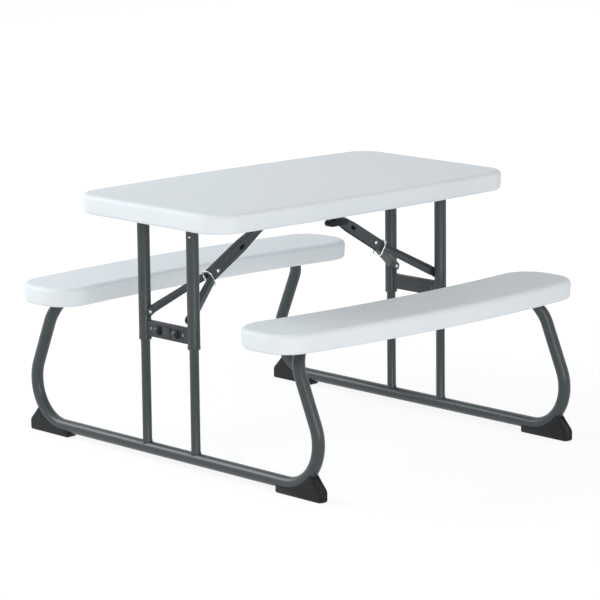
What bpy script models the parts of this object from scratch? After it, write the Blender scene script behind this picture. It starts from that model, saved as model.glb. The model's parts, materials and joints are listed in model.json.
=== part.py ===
"""Folding children's picnic table: a moulded top and two moulded benches on telescoping steel end frames.

Frame: metres, +X along the table, +Y to the rear bench, +Z up, origin on the floor under the middle of the top.
"""
import bpy
import bmesh
from math import asin, atan2, cos, hypot, pi, radians, sin, tan
from mathutils import Matrix, Vector

# Clearances
GAP = 0.0003                 # between pieces that touch
SLIDING_GAP = 0.0005         # between pieces that slide past each other

# Table top
TOP_LENGTH = 0.820
TOP_END_WIDTH = 0.436
TOP_BOW = 0.014              # how far each long side swells at the middle
TOP_CORNER = 0.056
TOP_HEIGHT = 0.5294
TOP_RIM = 0.0395
TOP_DECK = 0.0204
TOP_WALL = 0.024

# Benches
BENCH_LENGTH = 0.834
BENCH_WIDTH = 0.1645
BENCH_INNER = 0.248          # table centre line to the bench's inner edge, where its bow is nil
BENCH_BOW = 0.0251
BENCH_BOW_NIL = 0.047        # from the bench's end to where its bow is nil
BENCH_INNER_CORNER = 0.076
BENCH_OUTER_CORNER = 0.058
BENCH_HEIGHT = 0.3245
BENCH_RIM = 0.0393
BENCH_DECK = 0.016
BENCH_WALL = 0.020

EDGE_ROUND = 0.010           # rounding of the moulded panels' edges

# End frames: uprights, floor tube and legs
FRAME_X = 0.345              # table centre to the plane of an end frame
UPRIGHT_Y = 0.0735
UPPER_TUBE_R = 0.012
UPPER_TUBE_WALL = 0.0015
UPPER_TUBE_DROP = 0.0022     # upper tube's top below the hinge axle's centre
UPPER_TUBE_TAIL = 0.0571     # upper tube's lower end below the brace's lower pivot
LOWER_TUBE_R = 0.0088
GUIDE_REACH = 0.0386         # how far the widened guide end reaches into the upper tube
GUIDE_LENGTH = 0.020
FLOOR_TUBE_R = 0.012
FLOOR_TUBE_Z = 0.0213
FLOOR_BEND_Y = 0.3374        # where the floor run starts to bend up into a leg
FLOOR_BEND_R = 0.088
LEG_LEAN = radians(23.8)
KNEE_DROP = 0.0552           # a leg bends inwards this far below its bench hinge
KNEE_R = 0.060
KNEE_ANGLE = radians(32)

# Feet
FOOT_LEAD = 0.0219           # foot's inner end ahead of the floor tube's bend
FOOT_TOE_REACH = 0.0020      # toe beyond the bend's outside
FOOT_TOE_R = 0.016
FOOT_CORNER = 0.004          # round between sole and toe
FOOT_HEIGHT = 0.0495
FOOT_CREST = 0.0008          # width of the foot's top behind its saddle
FOOT_HALF_WIDTH = 0.0115
FOOT_LIP = 0.0065            # how far outside the tube's centre line the saddle's lips end

# Top hinges
AXLE_R = 0.0065
EAR_R = 0.0105
EAR_THICKNESS = 0.005
EAR_DROP = 0.045
SADDLE_Y = 0.045
SADDLE_LENGTH = 0.030
SADDLE_WIDTH = 0.020
SADDLE_FLOOR = 0.004         # material under the axle

# Bench hinges
BARREL_R = 0.008
BARREL_LENGTH = 0.034
BENCH_PIN_R = 0.0037
BENCH_EAR = 0.004
BENCH_WEB = 0.004
BENCH_BLOCK_LENGTH = 0.036
BENCH_EAR_DROP = 0.0068      # ear below the pin's centre
BENCH_PIN_DROP = 0.0173      # pin's centre below the bench's deck
BENCH_SIDE_PLAY = 0.0015     # between the barrel's ends and the ears, for the slanting leg to swing past
SWAGE_LENGTH = 0.014         # leg end drawn down to the barrel
SWAGE_R = 0.0072

# Folding braces
BRACE_RISE = 0.1935          # from the lower pivot, on the uprights, to the upper one
FOLDED_GAP = 0.0007          # between the deck and a lock ring on the folded arm
BRACE_SLOPE = radians(31)
BRACE_MID_X = 0.221          # middle pivot
ARM_HALF_WIDTH = 0.0075
ARM_WALL = 0.002
ARM_HALF_HEIGHT = 0.012
ARM_NARROW_HALF_HEIGHT = 0.0075
ARM_NARROW_END = 0.100       # along the arm from its upper pivot
ARM_TAPER_END = 0.170
ARM_OVERHANG = 0.025         # past the middle pivot
ARM_SLOT_BACK = 0.078        # stop slot, back from the middle pivot
ARM_SLOT_LENGTH = 0.012
ARM_SLOT_HEIGHT = 0.006
PIVOT_R = 0.0037
STAY_THICKNESS = 0.003
STAY_FOOT_Y = 0.0585
STAY_FOOT_LENGTH = 0.018
STAY_FOOT_R = 0.0092
STAY_TIP_BACK = 0.027        # stay tip short of the middle pivot
STAY_TIP_Y = 0.0155
STAY_TIP_HALF_HEIGHT = 0.008
RIVET_HEAD_R = 0.0050
RIVET_HEAD_HEIGHT = 0.0018
RING_WIRE_R = 0.0015
RING_HALF_WIDTH = 0.0120
RING_HALF_HEIGHT = 0.016
RING_CORNER = 0.006
RING_AHEAD = 0.022           # past the middle pivot
BRACKET_END = 0.0012         # plate beyond its ears
BRACKET_WIDTH = 0.046
BRACKET_PLATE = 0.002
BRACKET_EAR_R = 0.0095

# Tube clips under the middle of the deck
CLIP_Y = 0.120
CLIP_WIDTH = 0.018
CLIP_BASE_HALF = 0.022
CLIP_BASE = 0.003
CLIP_STEM_HALF = 0.009
CLIP_LOBE_HALF = 0.026
CLIP_DROP = 0.0515           # lobes below the deck
CLIP_LOBE_R = 0.0065

# Latch bars between the uprights
BAR_HALF_HEIGHT = 0.0155
BAR_OUTER = 0.006            # outer face beyond the frame plane
BAR_INNER = 0.0054           # inner face inside the frame plane
BAR_WALL = 0.0022
LATCH_RISE = 0.0246          # slides above the upper tubes' lower end
LATCH_HALF_HEIGHT = 0.007
LATCH_INNER_Y = 0.010
LATCH_TRAVEL = 0.005
LATCH_PIN_R = 0.0025
LUG_Y = 0.0275
LUG_HALF = 0.006
LUG_REACH = 0.007            # proud of the bar's outer face
BOLT_Y = 0.048
BOLT_R = 0.002
BOLT_HEAD_R = 0.0042
BOLT_HEAD = 0.0022

# Fineness of round shapes
ROUND_SIDES = 20
TUBE_RINGS = 4               # bevel resolution of the bent tubes
WIRE_RINGS = 2
ARC_STEP = radians(12)

# Worked-out places
TOP_UNDERSIDE = TOP_HEIGHT - TOP_DECK
BENCH_UNDERSIDE = BENCH_HEIGHT - BENCH_DECK
HINGE_Z = TOP_UNDERSIDE - GAP - EAR_R
UPPER_TUBE_HIGH = HINGE_Z - UPPER_TUBE_DROP
BRACE_TOP_Z = TOP_UNDERSIDE - FOLDED_GAP - 2 * RING_WIRE_R - GAP - ARM_HALF_HEIGHT
BRACE_FOOT_Z = BRACE_TOP_Z - BRACE_RISE
UPPER_TUBE_LOW = BRACE_FOOT_Z - UPPER_TUBE_TAIL
GUIDE_HIGH = UPPER_TUBE_LOW + GUIDE_REACH
LATCH_Z = UPPER_TUBE_LOW + LATCH_RISE
CLIP_LOBE_Z = TOP_UNDERSIDE - CLIP_DROP
BENCH_BOW_SPAN = BENCH_LENGTH / 2 - BENCH_BOW_NIL
BENCH_HINGE_Z = BENCH_UNDERSIDE - BENCH_PIN_DROP
KNEE_Z = BENCH_HINGE_Z - KNEE_DROP
LEG_CORNER_Y = FLOOR_BEND_Y + FLOOR_BEND_R * tan((pi / 2 + LEG_LEAN) / 2)
KNEE_CORNER_Z = KNEE_Z + KNEE_R * tan(KNEE_ANGLE / 2) * cos(LEG_LEAN)
KNEE_CORNER_Y = LEG_CORNER_Y - (KNEE_CORNER_Z - FLOOR_TUBE_Z) * tan(LEG_LEAN)
KNEE_RUN = (BENCH_HINGE_Z - KNEE_CORNER_Z) / (cos(KNEE_ANGLE) * cos(LEG_LEAN))
HINGE_X = FRAME_X - KNEE_RUN * sin(KNEE_ANGLE)
BENCH_HINGE_Y = KNEE_CORNER_Y - KNEE_RUN * cos(KNEE_ANGLE) * sin(LEG_LEAN)
BRACE_TOP_X = FRAME_X - BRACE_RISE / tan(BRACE_SLOPE)
BRACKET_LENGTH = 2 * (BRACE_TOP_X + BRACKET_EAR_R + BRACKET_END)
ARM_LENGTH = (BRACE_MID_X - BRACE_TOP_X) / cos(BRACE_SLOPE)
STAY_LENGTH = (FRAME_X - BRACE_MID_X) / cos(BRACE_SLOPE)
UPPER_BORE_R = UPPER_TUBE_R - UPPER_TUBE_WALL

ENDS = (("left", -1), ("right", 1))
ROWS = (("front", -1), ("rear", 1))


def new_collection(name):
    collection = bpy.data.collections.new(name)
    bpy.context.scene.collection.children.link(collection)
    return collection


def clear_scene():
    for obj in list(bpy.data.objects):
        bpy.data.objects.remove(obj, do_unlink=True)


def material(name, colour, roughness, metallic=0.0):
    mat = bpy.data.materials.new(name)
    mat.use_nodes = True
    shader = mat.node_tree.nodes["Principled BSDF"]
    shader.inputs["Base Color"].default_value = (*colour, 1.0)
    shader.inputs["Roughness"].default_value = roughness
    shader.inputs["Metallic"].default_value = metallic
    return mat


def add_object(name, data, matrix=Matrix()):
    obj = bpy.data.objects.new(name, data)
    obj.matrix_world = matrix
    PARTS.objects.link(obj)
    return obj


def as_tool(obj):
    """Keep an object only as a cutter or a joined shape, out of the parts."""
    PARTS.objects.unlink(obj)
    CUTTERS.objects.link(obj)
    obj.hide_render = True
    obj.display_type = "WIRE"
    return obj


def combine(obj, tool, operation):
    modifier = obj.modifiers.new(tool.name, "BOOLEAN")
    modifier.operation = operation
    modifier.object = as_tool(tool)
    return obj


def cut(obj, tool):
    return combine(obj, tool, "DIFFERENCE")


def join(obj, tool):
    return combine(obj, tool, "UNION")


def to_mesh(obj):
    """Replace a curve by its evaluated mesh, with the caps welded on."""
    mesh = bpy.data.meshes.new_from_object(obj.evaluated_get(bpy.context.evaluated_depsgraph_get()))
    weld = bmesh.new()
    weld.from_mesh(mesh)
    bmesh.ops.remove_doubles(weld, verts=weld.verts, dist=1e-6)
    bmesh.ops.recalc_face_normals(weld, faces=weld.faces)
    weld.to_mesh(mesh)
    weld.free()
    name = obj.name
    matrix = obj.matrix_world.copy()
    bpy.data.objects.remove(obj, do_unlink=True)
    return add_object(name, mesh, matrix)


def box(name, low, high):
    mesh = bpy.data.meshes.new(name)
    shape = bmesh.new()
    size = Vector(high) - Vector(low)
    bmesh.ops.create_cube(shape, size=1.0, matrix=Matrix.Diagonal((*size, 1.0)))
    shape.to_mesh(mesh)
    shape.free()
    return add_object(name, mesh, Matrix.Translation((Vector(low) + Vector(high)) / 2))


def axis_matrix(origin, x_axis, y_axis):
    """A placement whose local X and Y lie along two square world directions."""
    x_axis = Vector(x_axis)
    y_axis = Vector(y_axis)
    turn = Matrix((x_axis, y_axis, x_axis.cross(y_axis))).transposed()
    return Matrix.Translation(origin) @ turn.to_4x4()


def along_y(origin):
    """Local Z runs along world Y."""
    return axis_matrix(origin, (0, 0, 1), (1, 0, 0))


def along_x(origin, end):
    """Local Z runs along world X, away from the table's middle."""
    return axis_matrix(origin, (0, end, 0), (0, 0, 1))


def rod(name, radius, length, matrix):
    """A round bar centred on its placement, along local Z."""
    mesh = bpy.data.meshes.new(name)
    shape = bmesh.new()
    bmesh.ops.create_cone(shape, cap_ends=True, segments=ROUND_SIDES, radius1=radius, radius2=radius,
                          depth=length)
    shape.to_mesh(mesh)
    shape.free()
    return add_object(name, mesh, matrix)


def turned(name, profile, matrix):
    """A turned solid: the profile runs down its outer side, as pairs of radius and height."""
    mesh = bpy.data.meshes.new(name)
    points = [(radius, 0, height) for radius, height in profile]
    mesh.from_pydata(points, [(i, i + 1) for i in range(len(points) - 1)], [])
    obj = add_object(name, mesh, matrix)
    screw = obj.modifiers.new("turn", "SCREW")
    screw.steps = ROUND_SIDES
    screw.render_steps = ROUND_SIDES
    screw.use_merge_vertices = True
    screw.merge_threshold = 1e-6
    return obj


def outline_solid(name, outline, thickness, matrix):
    """A flat outline in local XY, thickened evenly both ways along local Z."""
    curve = bpy.data.curves.new(name, "CURVE")
    curve.dimensions = "2D"
    curve.fill_mode = "BOTH"
    curve.extrude = thickness / 2
    spline = curve.splines.new("POLY")
    spline.points.add(len(outline) - 1)
    for point, (x, y) in zip(spline.points, outline):
        point.co = (x, y, 0, 1)
    spline.use_cyclic_u = True
    return to_mesh(add_object(name, curve, matrix))


def bent_tube(name, path, radius, rings, cyclic=False, end_radius=None):
    """A round tube or wire along a list of points, its ends drawn down if an end radius is given."""
    curve = bpy.data.curves.new(name, "CURVE")
    curve.dimensions = "3D"
    curve.bevel_depth = radius
    curve.bevel_resolution = rings
    curve.use_fill_caps = not cyclic
    spline = curve.splines.new("POLY")
    spline.points.add(len(path) - 1)
    for point, place in zip(spline.points, path):
        point.co = (*place, 1)
    spline.use_cyclic_u = cyclic
    if end_radius:
        spline.points[0].radius = end_radius / radius
        spline.points[-1].radius = end_radius / radius
    return to_mesh(add_object(name, curve))


def arc(centre, radius, start, end):
    """Points on a flat arc, both ends included."""
    count = max(2, round(abs(end - start) / ARC_STEP))
    angles = [start + (end - start) * i / count for i in range(count + 1)]
    return [(centre[0] + radius * cos(a), centre[1] + radius * sin(a)) for a in angles]


def rounded_path(points, radii):
    """A path through corner points, each inner corner rounded to its radius."""
    path = [Vector(points[0])]
    for before, corner, after, radius in zip(points, points[1:], points[2:], radii):
        corner = Vector(corner)
        back = (Vector(before) - corner).normalized()
        ahead = (Vector(after) - corner).normalized()
        turn = pi - back.angle(ahead)
        centre = corner + (back + ahead).normalized() * radius / cos(turn / 2)
        start = corner + back * radius * tan(turn / 2) - centre
        axis = back.cross(ahead)
        count = max(2, round(turn / ARC_STEP))
        path += [centre + Matrix.Rotation(-turn * i / count, 3, axis) @ start for i in range(count + 1)]
    return path + [Vector(points[-1])]


def rounded_rectangle(half_x, half_y, high_corner, low_corner, side_steps):
    """A rounded rectangle's outline, its long sides divided so that they can be bowed."""
    outline = []
    for sx, sy, start in ((1, 1, 0), (-1, 1, pi / 2), (-1, -1, pi), (1, -1, 3 * pi / 2)):
        corner = high_corner if sy > 0 else low_corner
        cx = half_x - corner
        outline += arc((sx * cx, sy * (half_y - corner)), corner, start, start + pi / 2)
        if start in (0, pi):
            outline += [(sx * cx * (1 - 2 * i / side_steps), sy * half_y) for i in range(1, side_steps)]
    return outline


SIDE_STEPS = 12


def top_outline(inset):
    """The top's plan, each long side swelling evenly towards the middle."""
    half_x = TOP_LENGTH / 2 - inset
    half_y = TOP_END_WIDTH / 2 - inset
    corner = TOP_CORNER - inset
    plain = rounded_rectangle(half_x, half_y, corner, corner, SIDE_STEPS)
    return [(x, y * (1 + TOP_BOW / half_y * (1 - (x / half_x) ** 2))) for x, y in plain]


def bench_outline(inset, row):
    """A bench's plan, bowed outwards as a whole."""
    half_x = BENCH_LENGTH / 2 - inset
    half_y = BENCH_WIDTH / 2 - inset
    outer_corner = BENCH_OUTER_CORNER - inset
    inner_corner = BENCH_INNER_CORNER - inset
    plain = rounded_rectangle(half_x, half_y, outer_corner, inner_corner, SIDE_STEPS)
    middle = BENCH_INNER + BENCH_WIDTH / 2
    bowed = [(x, middle + y + BENCH_BOW * (1 - (x / BENCH_BOW_SPAN) ** 2)) for x, y in plain]
    return [(x, row * y) for x, y in bowed]


def moulded_panel(name, outline, recess, height, rim, deck):
    """A moulded panel: rounded edges, and a shallow recess inside its rim underneath."""
    panel = outline_solid(name, outline, rim, Matrix.Translation((0, 0, height - rim / 2)))
    edges = panel.modifiers.new("edges", "BEVEL")
    edges.width = EDGE_ROUND
    edges.segments = 3
    edges.limit_method = "ANGLE"
    edges.angle_limit = radians(60)
    depth = 2 * (rim - deck)
    hollow = outline_solid(name + "_recess", recess, depth, Matrix.Translation((0, 0, height - rim)))
    return cut(panel, hollow)


def build_panels():
    moulded_panel("table_top", top_outline(0), top_outline(TOP_WALL), TOP_HEIGHT, TOP_RIM, TOP_DECK)
    for row_name, row in ROWS:
        moulded_panel(row_name + "_bench", bench_outline(0, row), bench_outline(BENCH_WALL, row),
                      BENCH_HEIGHT, BENCH_RIM, BENCH_DECK)


def build_top_hinge(end_name, end):
    """The axle of an end frame, and the two saddles under the deck that it turns in."""
    half = UPRIGHT_Y + EAR_THICKNESS / 2 + UPPER_TUBE_R / 2
    rod(end_name + "_hinge_axle", AXLE_R, 2 * half, along_y((end * HINGE_X, 0, HINGE_Z)))
    for row_name, row in ROWS:
        centre = Vector((end * HINGE_X, row * SADDLE_Y, 0))
        reach = Vector((SADDLE_LENGTH / 2, SADDLE_WIDTH / 2, 0))
        low = centre - reach + Vector((0, 0, HINGE_Z - AXLE_R - SADDLE_FLOOR))
        high = centre + reach + Vector((0, 0, TOP_UNDERSIDE - GAP))
        saddle = box(end_name + "_" + row_name + "_hinge_saddle", low, high)
        bore = along_y((end * HINGE_X, row * SADDLE_Y, HINGE_Z))
        cut(saddle, rod(saddle.name + "_bore", AXLE_R + GAP, 2 * SADDLE_WIDTH, bore))


def build_upper_tube(end_name, end, row_name, row):
    """An upper tube with the ear that carries the hinge axle, bored for the lower tube."""
    name = end_name + "_" + row_name + "_upper_tube"
    length = UPPER_TUBE_HIGH - UPPER_TUBE_LOW
    middle = Matrix.Translation((end * FRAME_X, row * UPRIGHT_Y, (UPPER_TUBE_HIGH + UPPER_TUBE_LOW) / 2))
    tube = rod(name, UPPER_TUBE_R, length, middle)
    eye = (HINGE_X, HINGE_Z)
    ear = arc(eye, EAR_R, pi / 2, pi * 5 / 4)
    ear += [(FRAME_X, HINGE_Z - EAR_DROP), (FRAME_X, UPPER_TUBE_HIGH - UPPER_TUBE_WALL)]
    place = axis_matrix((0, row * UPRIGHT_Y, 0), (end, 0, 0), (0, 0, 1))
    join(tube, outline_solid(name + "_ear", ear, EAR_THICKNESS, place))
    cut(tube, rod(name + "_bore", UPPER_BORE_R, 2 * length, middle))
    hinge = along_y((end * HINGE_X, row * UPRIGHT_Y, HINGE_Z))
    cut(tube, rod(name + "_eye", AXLE_R + GAP, 4 * EAR_THICKNESS, hinge))
    pin_hole = along_y((end * FRAME_X, row * (UPRIGHT_Y - UPPER_TUBE_R), LATCH_Z))
    cut(tube, rod(name + "_pin_hole", LATCH_PIN_R + SLIDING_GAP, UPPER_TUBE_R, pin_hole))


def build_lower_tube(end_name, end, row_name, row):
    """A lower tube, saddled on the floor tube, with a wider guide end inside the upper tube."""
    name = end_name + "_" + row_name + "_lower_tube"
    guide_r = UPPER_BORE_R - GAP
    guide_low = GUIDE_HIGH - GUIDE_LENGTH
    profile = [(0, GUIDE_HIGH), (guide_r, GUIDE_HIGH), (guide_r, guide_low), (LOWER_TUBE_R, guide_low)]
    profile += [(LOWER_TUBE_R, FLOOR_TUBE_Z), (0, FLOOR_TUBE_Z)]
    tube = turned(name, profile, Matrix.Translation((end * FRAME_X, row * UPRIGHT_Y, 0)))
    saddle = along_y((end * FRAME_X, row * UPRIGHT_Y, FLOOR_TUBE_Z))
    cut(tube, rod(name + "_saddle", FLOOR_TUBE_R + GAP, 8 * LOWER_TUBE_R, saddle))


def floor_path(end):
    """From the front bench hinge down the leg, along the floor and up to the rear bench hinge."""
    half = [(end * HINGE_X, BENCH_HINGE_Y, BENCH_HINGE_Z),
            (end * FRAME_X, KNEE_CORNER_Y, KNEE_CORNER_Z),
            (end * FRAME_X, LEG_CORNER_Y, FLOOR_TUBE_Z)]
    corners = [(x, -y, z) for x, y, z in half] + half[::-1]
    path = rounded_path(corners, (KNEE_R, FLOOR_BEND_R, FLOOR_BEND_R, KNEE_R))
    start = path[0] + (path[1] - path[0]).normalized() * SWAGE_LENGTH
    finish = path[-1] + (path[-2] - path[-1]).normalized() * SWAGE_LENGTH
    return [path[0], start] + path[1:-1] + [finish, path[-1]]


def build_floor_tube(end_name, end):
    """One bent tube: floor run, two leaning legs, and a hinge barrel at each leg's end."""
    name = end_name + "_floor_tube"
    tube = bent_tube(name, floor_path(end), FLOOR_TUBE_R, TUBE_RINGS, end_radius=SWAGE_R)
    for row_name, row in ROWS:
        hinge = along_y((end * HINGE_X, row * BENCH_HINGE_Y, BENCH_HINGE_Z))
        join(tube, rod(name + "_" + row_name + "_barrel", BARREL_R, BARREL_LENGTH, hinge))
        cut(tube, rod(name + "_" + row_name + "_pin_hole", BENCH_PIN_R + GAP, 2 * BARREL_LENGTH, hinge))


def foot_outline():
    """Side view of a foot: flat sole, upright toe, sloping heel face, and a lip round the tube's outside."""
    bend = (FLOOR_BEND_Y, FLOOR_TUBE_Z + FLOOR_BEND_R)
    lip_r = FLOOR_BEND_R + FOOT_LIP
    inner_y = bend[0] - FOOT_LEAD
    out_y = bend[0] + FLOOR_BEND_R + FLOOR_TUBE_R + FOOT_TOE_REACH
    toe = (out_y - FOOT_TOE_R, FOOT_TOE_R)
    heel = (bend[0] + (lip_r ** 2 - (bend[1] - FOOT_HEIGHT) ** 2) ** 0.5 + FOOT_CREST, FOOT_HEIGHT)
    slope = atan2(heel[1] - toe[1], heel[0] - toe[0])
    tangent = slope - pi / 2 + asin(FOOT_TOE_R / hypot(heel[0] - toe[0], heel[1] - toe[1]))
    outline = [(inner_y, FLOOR_TUBE_Z - FOOT_LIP), (inner_y, 0)]
    outline += arc((out_y - FOOT_CORNER, FOOT_CORNER), FOOT_CORNER, -pi / 2, 0)
    outline += arc(toe, FOOT_TOE_R, 0, tangent)
    outline += [heel]
    lip_end = asin((heel[1] - bend[1]) / lip_r)
    outline += arc(bend, lip_r, lip_end, -pi / 2)
    return outline


def build_foot(end_name, end, row_name, row):
    """A moulded foot whose saddle holds the outside of the floor tube's bend."""
    name = end_name + "_" + row_name + "_foot"
    place = axis_matrix((end * FRAME_X, 0, 0), (0, row, 0), (0, 0, 1))
    foot = outline_solid(name, foot_outline(), 2 * FOOT_HALF_WIDTH, place)
    cut(foot, bent_tube(name + "_saddle", floor_path(end), FLOOR_TUBE_R + GAP, TUBE_RINGS))


def build_bench_hinge(end_name, end, row_name, row):
    """The hinge block under a bench, and the pin through the leg's barrel."""
    name = row_name + "_bench_" + end_name + "_hinge"
    x = end * HINGE_X
    y = row * BENCH_HINGE_Y
    slot_half = BARREL_LENGTH / 2 + BENCH_SIDE_PLAY
    block_half = slot_half + BENCH_EAR
    low_z = BENCH_HINGE_Z - BENCH_EAR_DROP
    high_z = BENCH_UNDERSIDE - GAP
    half_x = BENCH_BLOCK_LENGTH / 2
    block = box(name, (x - half_x, y - block_half, low_z), (x + half_x, y + block_half, high_z))
    cut(block, box(name + "_slot", (x - 2 * half_x, y - slot_half, low_z - BENCH_WEB),
                   (x + 2 * half_x, y + slot_half, high_z - BENCH_WEB)))
    hinge = along_y((x, y, BENCH_HINGE_Z))
    cut(block, rod(name + "_hole", BENCH_PIN_R + GAP, 4 * block_half, hinge))
    reach = block_half if end < 0 else BARREL_LENGTH / 2
    rod(name + "_pin", BENCH_PIN_R, 2 * reach, hinge)


def build_latch_bar(end_name, end):
    """The latch bar between the uprights, its two pinch slides and its bolts."""
    name = end_name + "_latch_bar"
    half_y = UPRIGHT_Y - UPPER_TUBE_R - SLIDING_GAP
    outer = FRAME_X + BAR_OUTER
    inner = FRAME_X - BAR_INNER
    span = sorted((end * inner, end * outer))
    bar = box(name, (span[0], -half_y, LATCH_Z - BAR_HALF_HEIGHT), (span[1], half_y, LATCH_Z + BAR_HALF_HEIGHT))
    room = sorted((end * (inner + BAR_WALL), end * (outer - BAR_WALL)))
    high = LATCH_HALF_HEIGHT + SLIDING_GAP
    channel = box(name + "_channel", (room[0], -2 * half_y, LATCH_Z - high),
                  (room[1], 2 * half_y, LATCH_Z + high))
    cut(bar, channel)
    for row_name, row in ROWS:
        window_y = sorted((row * (LUG_Y - LUG_HALF - LATCH_TRAVEL - SLIDING_GAP),
                           row * (LUG_Y + LUG_HALF + SLIDING_GAP)))
        window_x = sorted((end * FRAME_X, end * (outer + BAR_WALL)))
        cut(bar, box(name + "_" + row_name + "_window", (window_x[0], window_y[0], LATCH_Z - high),
                     (window_x[1], window_y[1], LATCH_Z + high)))
        bolt_place = along_x((end * FRAME_X, row * BOLT_Y, LATCH_Z), end)
        cut(bar, rod(name + "_" + row_name + "_bolt_hole", BOLT_R + GAP, 8 * BAR_OUTER, bolt_place))
        build_bolt(end_name + "_" + row_name + "_latch_bolt", bolt_place)
        build_latch_slide(end_name + "_" + row_name + "_latch_slide", end, row, room, bolt_place)


def build_bolt(name, place):
    """A latch bar bolt: a low head on the outer face and its riveted end on the inner one."""
    head = BAR_OUTER + GAP
    tail = -BAR_INNER - GAP
    half = BOLT_HEAD / 2
    crown = BOLT_HEAD_R * 0.7
    profile = [(0, head + BOLT_HEAD), (crown, head + BOLT_HEAD), (BOLT_HEAD_R, head + half)]
    profile += [(BOLT_HEAD_R, head), (BOLT_R, head), (BOLT_R, tail), (BOLT_HEAD_R, tail)]
    profile += [(BOLT_HEAD_R, tail - half), (crown, tail - BOLT_HEAD), (0, tail - BOLT_HEAD)]
    turned(name, profile, place)


def build_latch_slide(name, end, row, room, bolt_place):
    """A pinch slide: a finger lug through the window, and a pin into the upper tube's wall."""
    inner_x = room[0] + SLIDING_GAP
    outer_x = room[1] - SLIDING_GAP
    end_y = UPRIGHT_Y - UPPER_TUBE_R - SLIDING_GAP - GAP
    ys = sorted((row * LATCH_INNER_Y, row * end_y))
    slide = box(name, (inner_x, ys[0], LATCH_Z - LATCH_HALF_HEIGHT),
                (outer_x, ys[1], LATCH_Z + LATCH_HALF_HEIGHT))
    tip = UPRIGHT_Y - UPPER_BORE_R
    pin_length = 2 * (tip - end_y) + 2 * LATCH_HALF_HEIGHT
    pin_place = along_y((end * FRAME_X, row * (tip - pin_length / 2), LATCH_Z))
    join(slide, rod(name + "_pin", LATCH_PIN_R, pin_length, pin_place))
    lug = [(FRAME_X, LATCH_HALF_HEIGHT), (FRAME_X, -LATCH_HALF_HEIGHT)]
    lug_middle = FRAME_X + BAR_OUTER + LUG_REACH - LATCH_HALF_HEIGHT
    lug += arc((lug_middle, 0), LATCH_HALF_HEIGHT, -pi / 2, pi / 2)
    lug_place = axis_matrix((0, row * LUG_Y, LATCH_Z), (end, 0, 0), (0, 0, 1))
    join(slide, outline_solid(name + "_lug", lug, 2 * LUG_HALF, lug_place))
    slot = BOLT_R + SLIDING_GAP
    ys = sorted((row * (BOLT_Y - slot), row * (BOLT_Y + slot + LATCH_TRAVEL)))
    cut(slide, box(name + "_slot", (inner_x - BAR_WALL, ys[0], LATCH_Z - slot),
                   (outer_x + BAR_WALL, ys[1], LATCH_Z + slot)))


def arm_half_height(along):
    """Half the upper arm's height, narrow by the deck and wide from the taper on."""
    share = (along - ARM_NARROW_END) / (ARM_TAPER_END - ARM_NARROW_END)
    share = min(1, max(0, share))
    return ARM_NARROW_HALF_HEIGHT + share * (ARM_HALF_HEIGHT - ARM_NARROW_HALF_HEIGHT)


def arm_place(end):
    """Local X down the arm from its upper pivot, local Y square to it and upwards."""
    down = (end * cos(BRACE_SLOPE), 0, -sin(BRACE_SLOPE))
    square = (end * sin(BRACE_SLOPE), 0, cos(BRACE_SLOPE))
    return axis_matrix((end * BRACE_TOP_X, 0, BRACE_TOP_Z), down, square)


def build_upper_arm(end_name, end):
    """The upper brace arm, a channel open underneath, with its pivot pin, rivet and lock ring."""
    name = end_name + "_upper_arm"
    place = arm_place(end)
    tip = ARM_LENGTH + ARM_OVERHANG
    stations = [ARM_NARROW_END, ARM_TAPER_END]
    tip_corner = ARM_HALF_HEIGHT / 2
    outline = arc((0, 0), ARM_NARROW_HALF_HEIGHT, pi / 2, 3 * pi / 2)
    outline += [(along, -arm_half_height(along)) for along in stations]
    outline += arc((tip - tip_corner, tip_corner - ARM_HALF_HEIGHT), tip_corner, -pi / 2, 0)
    outline += arc((tip - tip_corner, ARM_HALF_HEIGHT - tip_corner), tip_corner, 0, pi / 2)
    outline += [(along, arm_half_height(along)) for along in stations[::-1]]
    arm = outline_solid(name, outline, 2 * ARM_HALF_WIDTH, place)
    beyond = 2 * ARM_OVERHANG
    inside = [(-beyond, -beyond), (tip + beyond, -beyond)]
    inside += [(along, arm_half_height(along) - ARM_WALL) for along in (tip + beyond, *stations[::-1], -beyond)]
    cut(arm, outline_solid(name + "_inside", inside, 2 * (ARM_HALF_WIDTH - ARM_WALL), place))
    for pivot, along in (("top_pivot", 0), ("middle_pivot", ARM_LENGTH)):
        hole = place @ Matrix.Translation((along, 0, 0))
        cut(arm, rod(name + "_" + pivot, PIVOT_R + GAP, 4 * ARM_HALF_WIDTH, hole))
    slot_middle = ARM_LENGTH - ARM_SLOT_BACK
    slot_end = (ARM_SLOT_LENGTH - ARM_SLOT_HEIGHT) / 2
    slot = arc((slot_middle + slot_end, 0), ARM_SLOT_HEIGHT / 2, -pi / 2, pi / 2)
    slot += arc((slot_middle - slot_end, 0), ARM_SLOT_HEIGHT / 2, pi / 2, 3 * pi / 2)
    cut(arm, outline_solid(name + "_slot", slot, 4 * ARM_HALF_WIDTH, place))
    rod(end_name + "_top_pivot_pin", PIVOT_R, 2 * (ARM_HALF_WIDTH + SLIDING_GAP + BRACKET_PLATE), place)
    middle = place @ Matrix.Translation((ARM_LENGTH, 0, 0))
    build_rivet(end_name + "_middle_rivet", -ARM_HALF_WIDTH - GAP, ARM_HALF_WIDTH + GAP, True, middle)
    build_lock_ring(end_name, place)


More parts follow.
